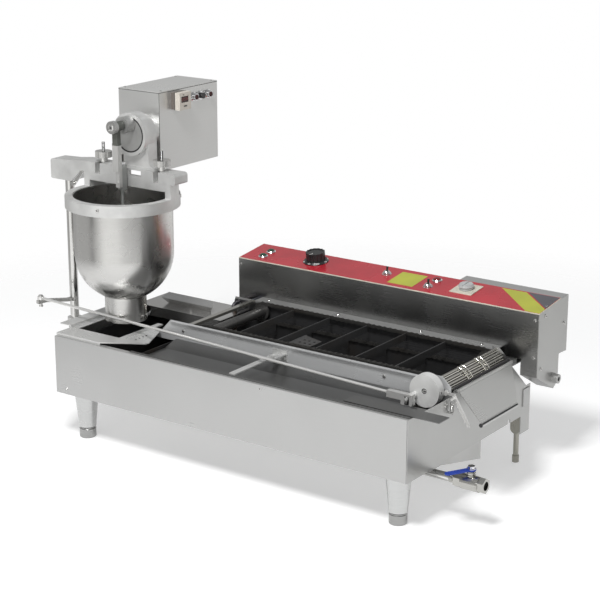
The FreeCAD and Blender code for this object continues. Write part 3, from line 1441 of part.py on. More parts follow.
def build():
    """Makes every sub-part."""
    make_outer_body()
    make_right_end_wall()
    make_oil_tank()
    make_deck_plate()
    make_rear_cover()
    make_drip_tray()
    make_rod_guide()
    make_front_legs()
    for side, x in (("left", d.leg_left_x), ("right", d.leg_right_x)):
        make_front_foot(side, x)
    make_rear_legs()
    make_drain_pipe()
    make_valve_body()
    make_valve_lever()
    make_side_plate_front()
    make_side_plate_rear()
    make_frame_crossbars()
    make_shafts()
    make_chains()
    make_flights()
    make_bearings()
    make_flipper()
    make_clutch_disc()
    make_push_rod()
    make_pawl()
    make_pawl_spring()
    make_chute()
    make_heating_element()
    make_post_bracket()
    make_post_tube()
    make_rock_shaft()
    make_lever_arm()
    make_hopper_holder()
    make_hopper()
    make_batter_cylinder()
    make_plunger()
    make_head_casting()
    for side, x in zip(("left", "right"), stud_places()):
        make_clamp_nut(side, x)
    make_crank_disc()
    make_connecting_rod()
    make_head_box()
    make_head_lid()
    make_head_gearmotor()
    make_counter()
    make_head_button()
    make_control_box()
    make_control_end()
    make_rear_box()
    make_control_panel()
    make_thermostat_knob()
    make_speed_knob()
    make_pilot_lamps()
    for index, place in enumerate(PANEL_PLACES["toggles"], start=1):
        make_toggle_lever(index, place)
    make_rear_shelf()
    make_fasteners()


def check_and_write():
    """Makes sure that nothing failed, then writes one file for each sub-part."""
    doc.recompute()
    failed = [item.Label for item in doc.Objects if {"Invalid", "Error"} & set(item.State)]
    if failed:
        raise RuntimeError(f"failed objects: {failed}")
    os.makedirs("parts", exist_ok=True)
    for piece in PARTS:
        shape = piece.Shape
        if shape.isNull() or not shape.isValid():
            raise RuntimeError(f"bad shape: {piece.Label}")
        shape.exportStep(f"parts/{piece.Label}.step")
    bounds = PARTS[0].Shape.BoundBox
    for piece in PARTS:
        bounds.add(piece.Shape.BoundBox)
    print(len(PARTS), "sub-parts, from", bounds)


build()
check_and_write()
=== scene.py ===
"""Looks of an automatic ring fryer: batter head, oil tank, conveyor and control box."""

import logging
import math
from collections.abc import Iterable
from dataclasses import dataclass
from enum import Enum
from functools import cache

import bmesh
import bpy
from mathutils import Matrix, Vector


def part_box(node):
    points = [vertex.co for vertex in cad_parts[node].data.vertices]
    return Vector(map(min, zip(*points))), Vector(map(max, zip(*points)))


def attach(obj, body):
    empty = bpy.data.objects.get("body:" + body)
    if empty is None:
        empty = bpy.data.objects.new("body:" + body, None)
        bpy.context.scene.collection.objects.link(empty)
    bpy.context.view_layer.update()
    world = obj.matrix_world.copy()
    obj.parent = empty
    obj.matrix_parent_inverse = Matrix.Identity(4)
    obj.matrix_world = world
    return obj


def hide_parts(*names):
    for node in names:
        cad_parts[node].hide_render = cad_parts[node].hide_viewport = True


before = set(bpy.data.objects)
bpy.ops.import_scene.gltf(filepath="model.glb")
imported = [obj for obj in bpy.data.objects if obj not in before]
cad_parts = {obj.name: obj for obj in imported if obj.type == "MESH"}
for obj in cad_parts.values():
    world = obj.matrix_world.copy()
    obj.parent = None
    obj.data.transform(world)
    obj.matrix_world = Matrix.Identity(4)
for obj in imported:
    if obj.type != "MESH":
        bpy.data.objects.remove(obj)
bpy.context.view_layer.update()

LOG = logging.getLogger("ring_fryer")
MM = 0.001
CORNER = Vector((-0.4065, -0.2589, 0.0))

SMOOTH_ANGLE = math.radians(34)
PANEL_SLOPE = math.atan2(11, 89)
PANEL_FRONT = 398.0
PANEL_FOOT = 327.7
DIAL_HALF = 25.0
WHITE = (1.0, 1.0, 1.0, 1.0)
UP = (0, 0, 1)
FORWARD = (0, -1, 0)
RIGHT = (1, 0, 0)
FACE_RIGHT = Matrix(((0, 0, 1, 0), (1, 0, 0, 0), (0, 1, 0, 0), (0, 0, 0, 1)))

Pair = tuple[float, float]
Triple = tuple[float, float, float]
Colour = Triple
Socket = bpy.types.NodeSocket
Ring = list[bmesh.types.BMVert]


class Grain(Enum):
    """Direction in which a surface was brushed or turned, as a stretch of its noise."""

    ALONG_X = (1.0, 60.0, 60.0)
    ALONG_Y = (60.0, 1.0, 60.0)
    ALONG_Z = (60.0, 60.0, 1.0)
    SPUN = (1.0, 1.0, 45.0)


class Slot(Enum):
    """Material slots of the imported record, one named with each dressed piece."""

    CASING = "casing_steel"
    CAST = "cast_aluminium"
    BRIGHT = "bright_steel"
    VALVE = "valve_metal"
    FILM = "panel_film"
    BLACK = "black_plastic"
    GREY = "grey_plastic"
    BEIGE = "beige_plastic"


def on_panel(x: float, y: float) -> Matrix:
    """Give the turn that stands a drawing on the sloping panel.

    Args:
        x: Machine X of the place.
        y: Machine Y of the place.

    Returns:
        The turn; Z is out of the panel and Y up its slope.
    """
    height = PANEL_FOOT + (y - PANEL_FRONT) * math.tan(PANEL_SLOPE)
    return Matrix.Translation((x, y, height)) @ Matrix.Rotation(PANEL_SLOPE, 4, "X")


def scaled(colour: Colour, share: float, lift: float = 0.0) -> Colour:
    """Give a colour made darker or lighter, at most white."""
    return tuple(min(1.0, part * share + lift) for part in colour)


class Nodes:
    """Node tree with short calls for its nodes and links."""

    def __init__(self, tree: bpy.types.NodeTree) -> None:
        """Start with an empty tree."""
        self.tree = tree
        tree.nodes.clear()

    def node(self, kind: str, inputs: dict | None = None, **values: object) -> bpy.types.Node:
        """Add a node.

        Args:
            kind: Type of the node.
            inputs: By name or place, each input's constant, the socket that feeds it, or a node
                whose first output does.
            values: Plain properties of the node.

        Returns:
            The new node.
        """
        made = self.tree.nodes.new(kind)
        for key, value in values.items():
            setattr(made, key, value)
        for key, value in (inputs or {}).items():
            if isinstance(value, bpy.types.Node):
                value = value.outputs[0]
            if isinstance(value, Socket):
                self.join(value, made.inputs[key])
            else:
                made.inputs[key].default_value = value
        return made

    def join(self, source: Socket, target: Socket) -> None:
        """Link two sockets."""
        self.tree.links.new(source, target)

    def spread(self, source: Socket, low: float = 0.0, high: float = 1.0, start: float = 0.3,
               end: float = 0.7) -> Socket:
        """Map a value from start..end to low..high."""
        inputs = {0: source, 1: start, 2: end, 3: low, 4: high}
        return self.node("ShaderNodeMapRange", inputs, clamp=True).outputs[0]


class Graph(Nodes):
    """Node tree of one material, with short calls for what the finishes share."""

    def __init__(self, name: str) -> None:
        """Start a material with a principled shader and object coordinates."""
        self.material = bpy.data.materials.new(name)
        self.material.use_nodes = True
        super().__init__(self.material.node_tree)
        self.shader = self.node("ShaderNodeBsdfPrincipled")
        self.output = self.node("ShaderNodeOutputMaterial", {"Surface": self.shader})
        self.place: Socket = self.node("ShaderNodeTexCoord").outputs["Object"]

    def fix(self, **values: object) -> None:
        """Set constants on the shader's own sockets, named with underscores for spaces."""
        for key, value in values.items():
            socket = self.shader.inputs[key.replace("_", " ")]
            socket.default_value = (*value, 1.0) if isinstance(value, tuple) else value

    def noise(self, scale: float, detail: float = 3.0, stretch: Triple = (1, 1, 1)) -> Socket:
        """Add noise over the object's own coordinates.

        Args:
            scale: Waves per metre before the stretch.
            detail: Octaves of the noise.
            stretch: Factors on the three coordinates.

        Returns:
            The noise value, about 0.5 on average.
        """
        mapped = self.node("ShaderNodeMapping", {"Vector": self.place, "Scale": stretch})
        inputs = {"Vector": mapped, "Scale": scale, "Detail": detail}
        return self.node("ShaderNodeTexNoise", inputs).outputs["Fac"]

    def along(self, axis: str, start: float, end: float, low: float, high: float) -> Socket:
        """Map the object's own coordinate along an axis from start..end to low..high."""
        parts = self.node("ShaderNodeSeparateXYZ", {0: self.place})
        return self.spread(parts.outputs[axis], low, high, start, end)

    def mix(self, factor: Socket, first: Colour | Socket, second: Colour) -> Socket:
        """Blend a colour, plain or from a socket, towards a second one by a factor."""
        start = first if isinstance(first, Socket) else (*first, 1.0)
        inputs = {0: factor, 6: start, 7: (*second, 1.0)}
        return self.node("ShaderNodeMix", inputs, data_type="RGBA").outputs[2]

    def add(self, first: Socket, second: Socket) -> Socket:
        """Add two values."""
        return self.node("ShaderNodeMath", {0: first, 1: second}, operation="ADD").outputs[0]

    def colour(self, source: Socket) -> None:
        """Drive the base colour."""
        self.join(source, self.shader.inputs["Base Color"])

    def rough(self, source: Socket) -> None:
        """Drive the roughness."""
        self.join(source, self.shader.inputs["Roughness"])

    def bump(self, height: Socket, depth: float, strength: float = 1.0) -> None:
        """Drive the normal from a height, stacked on an earlier bump if there is one.

        Args:
            height: Height from 0 to 1.
            depth: Metres between height 0 and 1.
            strength: Share of the bump that shows.
        """
        inputs = {"Strength": strength, "Distance": depth, "Height": height}
        normal = self.shader.inputs["Normal"]
        if normal.is_linked:
            inputs["Normal"] = normal.links[0].from_socket
        self.join(self.node("ShaderNodeBump", inputs).outputs[0], normal)


@dataclass(frozen=True)
class Finish:
    """Finish of a surface, which each kind draws in its own way."""

    name: str

    def paint(self, graph: Graph) -> None:
        """Draw the nodes of the finish."""

    def material(self) -> bpy.types.Material:
        """Build the node material."""
        graph = Graph(self.name)
        self.paint(graph)
        return graph.material


@dataclass(frozen=True)
class SheetSteel(Finish):
    """Satin stainless sheet with a fine brushed grain, handling marks and, where asked, a
    near-black band below a level.
    """

    colour: Colour = (0.64, 0.64, 0.63)
    roughness: float = 0.30
    grain: Grain = Grain.ALONG_X
    depth: float = 0.000002
    cloud: float = 0.05
    metallic: float = 0.65
    darkened_below: float = -1.0

    def paint(self, graph: Graph) -> None:
        """Draw the nodes of the finish."""
        brush = graph.noise(30.0, 3.0, self.grain.value)
        cloud = graph.noise(7.0, 2.0)
        shades = scaled(self.colour, 0.98), scaled(self.colour, 1.015)
        plain = graph.mix(graph.spread(brush), *shades)
        # Where a level is given, the colour turns near-black below it.
        if self.darkened_below > 0:
            level = self.darkened_below * MM
            film = graph.along("Z", level - 0.002, level, 1.0, 0.0)
            plain = graph.mix(film, plain, (0.07, 0.07, 0.072))
        graph.colour(plain)
        streak = graph.spread(brush, -0.012, 0.012)
        base = graph.spread(cloud, self.roughness - self.cloud, self.roughness + self.cloud)
        graph.rough(graph.add(base, streak))
        graph.bump(brush, self.depth, 0.3)
        graph.bump(cloud, 0.0012, 0.08)
        graph.fix(Metallic=self.metallic)


@dataclass(frozen=True)
class TurnedMetal(Finish):
    """Bright turned, drawn or polished metal with fine tool lines."""

    colour: Colour = (0.66, 0.655, 0.64)
    roughness: float = 0.16
    grain: Grain = Grain.SPUN
    scale: float = 40.0
    depth: float = 0.000008

    def paint(self, graph: Graph) -> None:
        """Draw the nodes of the finish."""
        lines = graph.noise(self.scale, 3.0, self.grain.value)
        smear = graph.noise(18.0, 2.0)
        graph.colour(graph.mix(graph.spread(lines), scaled(self.colour, 0.90), self.colour))
        graph.rough(graph.spread(smear, self.roughness * 0.8, self.roughness * 1.35))
        graph.bump(lines, self.depth, 0.7)
        graph.fix(Metallic=1.0)


@dataclass(frozen=True)
class SandCast(Finish):
    """Sand-cast aluminium, pale and grainy, with darker hollows and rubbed bright places."""

    colour: Colour = (0.56, 0.56, 0.55)
    roughness: float = 0.46
    grit: float = 900.0
    depth: float = 0.00008
    metallic: float = 0.7

    def paint(self, graph: Graph) -> None:
        """Draw the nodes of the finish."""
        grit = graph.noise(self.grit, 3.0)
        patch = graph.noise(24.0, 3.0)
        graph.colour(graph.mix(graph.spread(patch), scaled(self.colour, 0.78), self.colour))
        graph.rough(graph.spread(grit, self.roughness - 0.06, self.roughness + 0.10))
        graph.bump(grit, self.depth, 0.5)
        graph.bump(patch, 0.0008, 0.15)
        graph.fix(Metallic=self.metallic)


@dataclass(frozen=True)
class Enamel(Finish):
    """Paint or powder coat with a faint orange-peel surface and dusty places."""

    colour: Colour
    roughness: float = 0.35
    peel: float = 420.0
    depth: float = 0.00004
    metallic: float = 0.0
    coat: float = 0.0

    def paint(self, graph: Graph) -> None:
        """Draw the nodes of the finish."""
        peel = graph.noise(self.peel, 2.0)
        dust = graph.noise(14.0, 4.0)
        shades = scaled(self.colour, 0.85), scaled(self.colour, 1.07, 0.004)
        graph.colour(graph.mix(graph.spread(dust), *shades))
        graph.rough(graph.spread(dust, self.roughness - 0.05, self.roughness + 0.07))
        graph.bump(peel, self.depth, 0.4)
        graph.fix(Metallic=self.metallic, Coat_Weight=self.coat, Coat_Roughness=0.08)


@dataclass(frozen=True)
class Plastic(Finish):
    """Moulded plastic with a fine spark-eroded grain and a few rubbed places."""

    colour: Colour
    roughness: float = 0.38
    grain: float = 1500.0
    depth: float = 0.00003

    def paint(self, graph: Graph) -> None:
        """Draw the nodes of the finish."""
        grain = graph.noise(self.grain, 2.0)
        rub = graph.noise(45.0, 3.0)
        shades = scaled(self.colour, 0.88), scaled(self.colour, 1.10, 0.006)
        graph.colour(graph.mix(graph.spread(rub), *shades))
        graph.rough(graph.spread(rub, self.roughness - 0.07, self.roughness + 0.07))
        graph.bump(grain, self.depth, 0.4)


@dataclass(frozen=True)
class TwoTone(Finish):
    """Surface whose part beyond a level along one axis has another colour."""

    front: Colour
    rear: Colour
    split: float
    axis: str = "X"
    metallic: float = 0.0

    def paint(self, graph: Graph) -> None:
        """Draw the nodes of the finish."""
        grain = graph.noise(1300.0, 2.0)
        rub = graph.noise(60.0, 3.0)
        where = self.split * MM + CORNER["XYZ".index(self.axis)]
        side = graph.along(self.axis, where - 0.0002, where + 0.0002, 0.0, 1.0)
        tone = graph.mix(side, self.rear, self.front)
        graph.colour(graph.mix(graph.spread(rub, 0.0, 0.12), tone, (0.25, 0.2, 0.15)))
        graph.rough(graph.spread(rub, 0.34, 0.48))
        graph.bump(grain, 0.00003, 0.4)
        graph.fix(Metallic=self.metallic)


@dataclass(frozen=True)
class OiledSteel(Finish):
    """Dark steel with a thin film of frying oil and brown varnish in patches."""

    colour: Colour = (0.09, 0.09, 0.092)
    varnish: Colour = (0.05, 0.035, 0.022)
    roughness: float = 0.22
    clean_below: float = -1.0

    def paint(self, graph: Graph) -> None:
        """Draw the nodes of the finish."""
        brush = graph.noise(20.0, 3.0, Grain.ALONG_X.value)
        patch = graph.noise(9.0, 5.0)
        plain = graph.mix(graph.spread(brush), self.colour, scaled(self.colour, 1.35))
        stained = graph.mix(graph.spread(patch, 0, 0.8, 0.5, 0.75), plain, self.varnish)
        if self.clean_below > 0:
            level = self.clean_below * MM
            clean = graph.along("Z", level - 0.001, level, 1.0, 0.0)
            stained = graph.mix(clean, stained, (0.50, 0.50, 0.49))
        graph.colour(stained)
        graph.rough(graph.spread(patch, self.roughness, self.roughness + 0.2))
        graph.bump(brush, 0.00002, 0.4)
        graph.fix(Metallic=0.7)


@dataclass(frozen=True)
class HeatedSheath(Finish):
    """Heater tube, dark with oxide and straw and blue heat tints along its length."""

    def paint(self, graph: Graph) -> None:
        """Draw the nodes of the finish."""
        band = graph.noise(14.0, 2.0)
        scale = graph.noise(260.0, 4.0)
        tint = graph.mix(graph.spread(band), (0.17, 0.12, 0.075), (0.07, 0.075, 0.10))
        graph.colour(graph.mix(graph.spread(scale, 0, 0.5), tint, (0.03, 0.028, 0.026)))
        graph.rough(graph.spread(scale, 0.32, 0.55))
        graph.bump(scale, 0.00008, 0.5)
        graph.fix(Metallic=0.8)


class Axis(Enum):
    """Axis that an outline is extruded along."""

    X = 0
    Y = 1
    Z = 2


def rectangle(left: float, low: float, right: float, high: float) -> list[Pair]:
    """Give the four corners of a rectangle in order."""
    return [(left, low), (right, low), (right, high), (left, high)]


def link(made: bpy.types.Object) -> None:
    """Put an object into the scene."""
    bpy.context.scene.collection.objects.link(made)


class Shape:
    """Mesh under construction, drawn in the machine's millimetres and built in metres."""

    def __init__(self, turn: Matrix | None = None) -> None:
        """Start an empty mesh; the turn places everything that is drawn."""
        self.mesh = bmesh.new()
        self.turn = turn or Matrix()

    def loop(self, places: Iterable[Triple]) -> Ring:
        """Add a row of points."""
        return [self.mesh.verts.new(self.turn @ Vector(place)) for place in places]

    def circle(self, middle: Vector, first: Vector, second: Vector, sides: int) -> Ring:
        """Add a ring of points on a circle with two given radii at a right angle."""
        angles = [2 * math.pi * index / sides for index in range(sides)]
        return self.loop(middle + first * math.cos(a) + second * math.sin(a) for a in angles)

    def face(self, corners: Iterable[Triple]) -> None:
        """Add one flat face."""
        self.mesh.faces.new(self.loop(corners))

    def skin(self, rings: list[Ring], ends: bool = True) -> None:
        """Join closed rings of equal length.

        Args:
            rings: Rings of points, one after the other.
            ends: Whether the first and last ring are closed; otherwise they are joined.
        """
        after = rings[1:] + ([] if ends else rings[:1])
        for first, second in zip(rings, after):
            for index, point in enumerate(first):
                follow = (index + 1) % len(first)
                self.mesh.faces.new((point, first[follow], second[follow], second[index]))
        if ends:
            self.mesh.faces.new(rings[0])
            self.mesh.faces.new(rings[-1])

    def prism(self, outline: list[Pair], axis: Axis, low: float, high: float) -> "Shape":
        """Extrude an outline.

        Args:
            outline: Corners in the two other coordinates, in X, Y, Z order.
            axis: Axis of the extrusion.
            low: Where it starts.
            high: Where it ends.

        Returns:
            This drawing.
        """
        rings = []
        for level in (low, high):
            corners = [list(corner) for corner in outline]
            for corner in corners:
                corner.insert(axis.value, level)
            rings.append(self.loop(corners))
        self.skin(rings)
        return self

    def slab(self, low: Triple, high: Triple) -> "Shape":
        """Add a box between two corners."""
        return self.prism(rectangle(*low[:2], *high[:2]), Axis.Z, low[2], high[2])

    def lathe(self, profile: list[Pair], foot: Triple = (0, 0, 0), along: Triple = UP,
              sides: int = 40, hollow: bool = False) -> "Shape":
        """Turn a profile about a line.

        Args:
            profile: Pairs of radius and distance along the line.
            foot: Where the line starts.
            along: Direction of the line.
            sides: Facets round it.
            hollow: Whether the profile closes on itself, as for a ring.

        Returns:
            This drawing.
        """
        axis = Vector(along).normalized()
        side = axis.orthogonal().normalized()
        other = axis.cross(side)
        rings = []
        for radius, far in profile:
            middle = Vector(foot) + axis * far
            rings.append(self.circle(middle, side * radius, other * radius, sides))
        self.skin(rings, ends=not hollow)
        return self

    def rod(self, start: Triple, end: Triple, radius: float, sides: int = 24) -> "Shape":
        """Add a round bar with slightly broken edges."""
        along = Vector(end) - Vector(start)
        far = along.length
        rim = min(radius * 0.12, far * 0.2)
        profile = [(radius - rim, 0), (radius, rim), (radius, far - rim), (radius - rim, far)]
        return self.lathe(profile, start, along, sides)

    def tube(self, path: list[Triple], radius: float, sides: int = 12) -> "Shape":
        """Sweep a circle along a path."""
        points = [Vector(place) for place in path]
        side = (points[1] - points[0]).orthogonal().normalized()
        rings = []
        for index, point in enumerate(points):
            ahead = points[min(index + 1, len(points) - 1)] - points[max(index - 1, 0)]
            ahead.normalize()
            side = (side - ahead * side.dot(ahead)).normalized()
            rings.append(self.circle(point, side * radius, ahead.cross(side) * radius, sides))
        self.skin(rings)
        return self

    def hexagon(self, foot: Triple, along: Triple, flats: float, height: float) -> "Shape":
        """Add a hexagon nut with turned-off corners."""
        corner = flats / math.sqrt(3)
        rim = corner - flats / 2
        profile = [(corner - rim, 0), (corner, rim * 0.6), (corner, height - rim * 0.6),
                   (corner - rim, height)]
        return self.lathe(profile, foot, along, sides=6)

    def letters(self, text: str, height: float, place: Matrix, depth: float = 0.15) -> None:
        """Add raised figures.

        Args:
            text: Plain figures or a plain sign.
            height: Height of the figures.
            place: Where their middle lies; X runs along the line and Z out of the surface.
            depth: How far they stand out.
        """
        curve = bpy.data.curves.new("figures", "FONT")
        curve.body = text
        curve.size = height * 1.4
        curve.align_x = "CENTER"
        curve.align_y = "CENTER"
        curve.extrude = depth / 2
        curve.resolution_u = 3
        holder = bpy.data.objects.new("figures", curve)
        data = bpy.data.meshes.new_from_object(holder)
        data.transform(self.turn @ place)
        self.mesh.from_mesh(data)
        bpy.data.objects.remove(holder)
        bpy.data.curves.remove(curve)
        bpy.data.meshes.remove(data)

    def plain(self, name: str) -> bpy.types.Object:
        """Close the mesh, shade it by its edges and link it to the scene."""
        bmesh.ops.recalc_face_normals(self.mesh, faces=self.mesh.faces)
        for vertex in self.mesh.verts:
            vertex.co = vertex.co * MM + CORNER
        for edge in self.mesh.edges:
            edge.smooth = edge.is_manifold and edge.calc_face_angle() < SMOOTH_ANGLE
        for face in self.mesh.faces:
            face.smooth = True
        data = bpy.data.meshes.new(name)
        self.mesh.to_mesh(data)
        self.mesh.free()
        made = bpy.data.objects.new(name, data)
        link(made)
        return made

    def build(self, name: str, finish: Finish, body: str = "machine", slot: Slot = Slot.BRIGHT,
              bevel: float = 0.0, replaces: Iterable[str] = ()) -> bpy.types.Object:
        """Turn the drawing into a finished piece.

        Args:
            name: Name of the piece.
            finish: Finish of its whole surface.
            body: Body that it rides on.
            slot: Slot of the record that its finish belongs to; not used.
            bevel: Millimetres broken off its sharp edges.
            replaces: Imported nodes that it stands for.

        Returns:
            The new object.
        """
        made = self.plain(name)
        made.data.materials.append(finished(finish))
        if bevel:
            edge = made.modifiers.new("broken_edges", "BEVEL")
            edge.width = bevel * MM
            edge.segments = 2
            edge.limit_method = "ANGLE"
            edge.angle_limit = SMOOTH_ANGLE
        if replaces:
            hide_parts(*replaces)
        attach(made, body)
        LOG.info("built %s on %s", name, body)
        return made


@cache
def finished(finish: Finish) -> bpy.types.Material:
    """Give the one material of a finish."""
    return finish.material()


@dataclass
class Studio:
    """Floor, light and camera of the picture."""

    camera_place: Triple = (1.9223, -2.6638, 1.2811)
    camera_turn: Triple = (73.46, 0.0, 35.46)
    lens: float = 102.0
    floor_side: float = 6000.0
    floor_glow: float = 0.40
    floor_near: float = 0.95
    floor_far: float = 1.7
    floor_grey: tuple[float, ...] = (0.72, 0.72, 0.72, 1.0)
    ceiling: tuple[float, ...] = (0.34, 0.345, 0.35, 1.0)
    ceiling_from: Pair = (0.32, 0.62)
    ring_stops: tuple[Pair, ...] = (
        (0.000, 0.55), (0.120, 0.55), (0.150, 0.24), (0.185, 0.70), (0.240, 1.25),
        (0.320, 1.15), (0.380, 0.66), (0.455, 0.40), (0.472, 0.55), (0.488, 0.17),
        (0.600, 0.17), (0.625, 0.75), (0.700, 0.95), (0.770, 0.90), (0.830, 0.42),
        (0.930, 0.40), (1.000, 0.55),
    )
    lamp_place: Triple = (0.45, -1.75, 2.9)
    lamp_target: Triple = (0.0, 0.0, 0.1)
    lamp_side: float = 0.7
    lamp_watts: float = 85.0

    def build(self) -> None:
        """Make the world, the floor, the lamp and the camera."""
        self.make_world()
        self.make_floor()
        self.make_lamp()
        self.make_camera()

    def make_world(self) -> None:
        """Plain white behind the object, and a soft studio all round it for its reflections."""
        world = bpy.data.worlds.new("studio_world")
        bpy.context.scene.world = world
        world.use_nodes = True
        nodes = Nodes(world.node_tree)
        place = nodes.node("ShaderNodeTexCoord").outputs["Generated"]
        parts = nodes.node("ShaderNodeSeparateXYZ", {0: place}).outputs
        turn = nodes.node("ShaderNodeMath", {0: parts["Y"], 1: parts["X"]}, operation="ARCTAN2")
        share = nodes.spread(turn.outputs[0], 0.0, 1.0, -math.pi, math.pi)
        ring = nodes.node("ShaderNodeValToRGB", {0: share})
        ramp = ring.color_ramp
        ramp.interpolation = "EASE"
        while len(ramp.elements) < len(self.ring_stops):
            ramp.elements.new(0.5)
        for element, (where, level) in zip(ramp.elements, self.ring_stops):
            element.position = where
            element.color = (level, level, level * 0.99, 1.0)
        low, high = self.ceiling_from
        lift = nodes.node("ShaderNodeMapRange", {0: parts["Z"], 1: low, 2: high, 3: 0.0, 4: 1.0},
                          interpolation_type="SMOOTHSTEP")
        sky = nodes.node("ShaderNodeMix", {0: lift, 6: ring, 7: self.ceiling}, data_type="RGBA")
        around = nodes.node("ShaderNodeBackground", {"Color": sky.outputs[2]})
        seen = nodes.node("ShaderNodeBackground", {"Color": WHITE})
        ray = nodes.node("ShaderNodeLightPath").outputs["Is Camera Ray"]
        blend = nodes.node("ShaderNodeMixShader", {0: ray, 1: around, 2: seen})
        nodes.node("ShaderNodeOutputWorld", {0: blend})

    def make_floor(self) -> None:
        """Pale floor that keeps the soft shadow and fades into the white round it."""
        shape = Shape()
        half = self.floor_side / 2
        middle = -CORNER / MM
        corners = rectangle(middle.x - half, middle.y - half, middle.x + half, middle.y + half)
        shape.face((x, y, 0) for x, y in corners)
        floor = shape.plain("studio_floor")
        graph = Graph("floor_white")
        ray = graph.node("ShaderNodeLightPath").outputs
        seen = graph.node("ShaderNodeMath", {0: ray["Is Camera Ray"], 1: ray["Is Glossy Ray"]},
                          operation="MAXIMUM")
        level = graph.node("ShaderNodeMath", {0: seen, 1: self.floor_glow}, operation="MULTIPLY")
        matt = graph.node("ShaderNodeBsdfDiffuse", {"Color": self.floor_grey})
        glow = graph.node("ShaderNodeEmission", {"Color": WHITE, "Strength": level})
        near = graph.node("ShaderNodeAddShader", {0: matt, 1: glow})
        far = graph.node("ShaderNodeBsdfTransparent")
        reach = graph.node("ShaderNodeVectorMath", {0: graph.place}, operation="LENGTH")
        fade = graph.spread(reach.outputs["Value"], 0.0, 1.0, self.floor_near, self.floor_far)
        both = graph.node("ShaderNodeMixShader", {0: fade, 1: near, 2: far})
        graph.join(both.outputs[0], graph.output.inputs["Surface"])
        floor.data.materials.append(graph.material)

    def make_lamp(self) -> None:
        """One square soft box in front of and above the object."""
        data = bpy.data.lights.new("key_box", "AREA")
        data.shape = "SQUARE"
        data.size = self.lamp_side
        data.energy = self.lamp_watts
        made = bpy.data.objects.new("key_box", data)
        made.location = self.lamp_place
        aim = Vector(self.lamp_target) - Vector(self.lamp_place)
        made.rotation_euler = aim.to_track_quat("-Z", "Y").to_euler()
        link(made)

    def make_camera(self) -> None:
        """Camera at the picture's viewing angle."""
        data = bpy.data.cameras.new("picture_camera")
        data.lens = self.lens
        data.sensor_width = 36.0
        data.clip_end = 60.0
        made = bpy.data.objects.new("picture_camera", data)
        made.location = self.camera_place
        made.rotation_euler = [math.radians(angle) for angle in self.camera_turn]
        link(made)
        bpy.context.scene.camera = made
        bpy.context.scene.view_settings.view_transform = "Standard"


CASING = SheetSteel("casing_steel_x", (0.47, 0.47, 0.465), roughness=0.32)
ROD_STEEL = TurnedMetal("rod_steel", roughness=0.12)
SCREW_STEEL = TurnedMetal("screw_steel", roughness=0.2)
WIRE_STEEL = TurnedMetal("wire_steel", (0.86, 0.84, 0.78), roughness=0.10)
STUD_STEEL = TurnedMetal("stud_steel", (0.20, 0.20, 0.20), roughness=0.32)
BAR_STEEL = SheetSteel("bar_steel", (0.44, 0.43, 0.40), roughness=0.20, metallic=0.9)
CHAIN_STEEL = OiledSteel("chain_steel", (0.07, 0.068, 0.065), varnish=(0.05, 0.04, 0.03))
# Dark oiled steel of the shafts and the coupling bolt, and also the painted shade between the
# discharge wires.
DARK_STEEL_AND_SHADE = OiledSteel("shaft_steel_and_painted_shade", (0.10, 0.098, 0.095), varnish=(0.05, 0.04, 0.03))
CHROME = TurnedMetal("chrome_plate", (0.76, 0.76, 0.77), roughness=0.07, depth=0.000003)
CAST = SandCast("cast_aluminium", (0.71, 0.71, 0.70), metallic=0.65)
FILM_RED = Enamel("crimson_film", (0.44, 0.016, 0.030), roughness=0.26, depth=0.00002, coat=0.3)
FILM_LIME = Enamel("lime_film", (0.42, 0.44, 0.03), roughness=0.30, depth=0.00002, coat=0.3)
FILM_DARK = Enamel("dark_film", (0.075, 0.072, 0.085), roughness=0.30, depth=0.00002, coat=0.3)
CREAM = Plastic("cream_plate", (0.60, 0.57, 0.48), roughness=0.34)
# Black for real print, and also painted shade in the counter's slits and in the grooves round the
# pilot lamp lenses.
INK_AND_SHADE = Plastic("black_ink_and_painted_shade", (0.02, 0.02, 0.02), roughness=0.5)
WHITE_INK = Plastic("white_ink", (0.80, 0.80, 0.78), roughness=0.5)
# Near-black finish for painted shade: thin dark pieces laid into gaps, seams, slits and screw
# recesses where there is only shade.
SHADOW_GAP = Plastic("painted_shadow_gap", (0.02, 0.02, 0.021), roughness=0.7)
DARK_GLASS = Plastic("dark_window", (0.035, 0.010, 0.010), roughness=0.12, depth=0.000003)
GREEN_GLASS = Plastic("green_lens", (0.012, 0.050, 0.028), roughness=0.12, depth=0.000003)
RED_GLASS = Plastic("red_lens", (0.16, 0.010, 0.012), roughness=0.12, depth=0.000003)
LAMP_RED = Plastic("unlit_segments", (0.16, 0.035, 0.030), roughness=0.3)
VALVE_STEEL = TurnedMetal("valve_steel", (0.46, 0.455, 0.43), roughness=0.24)

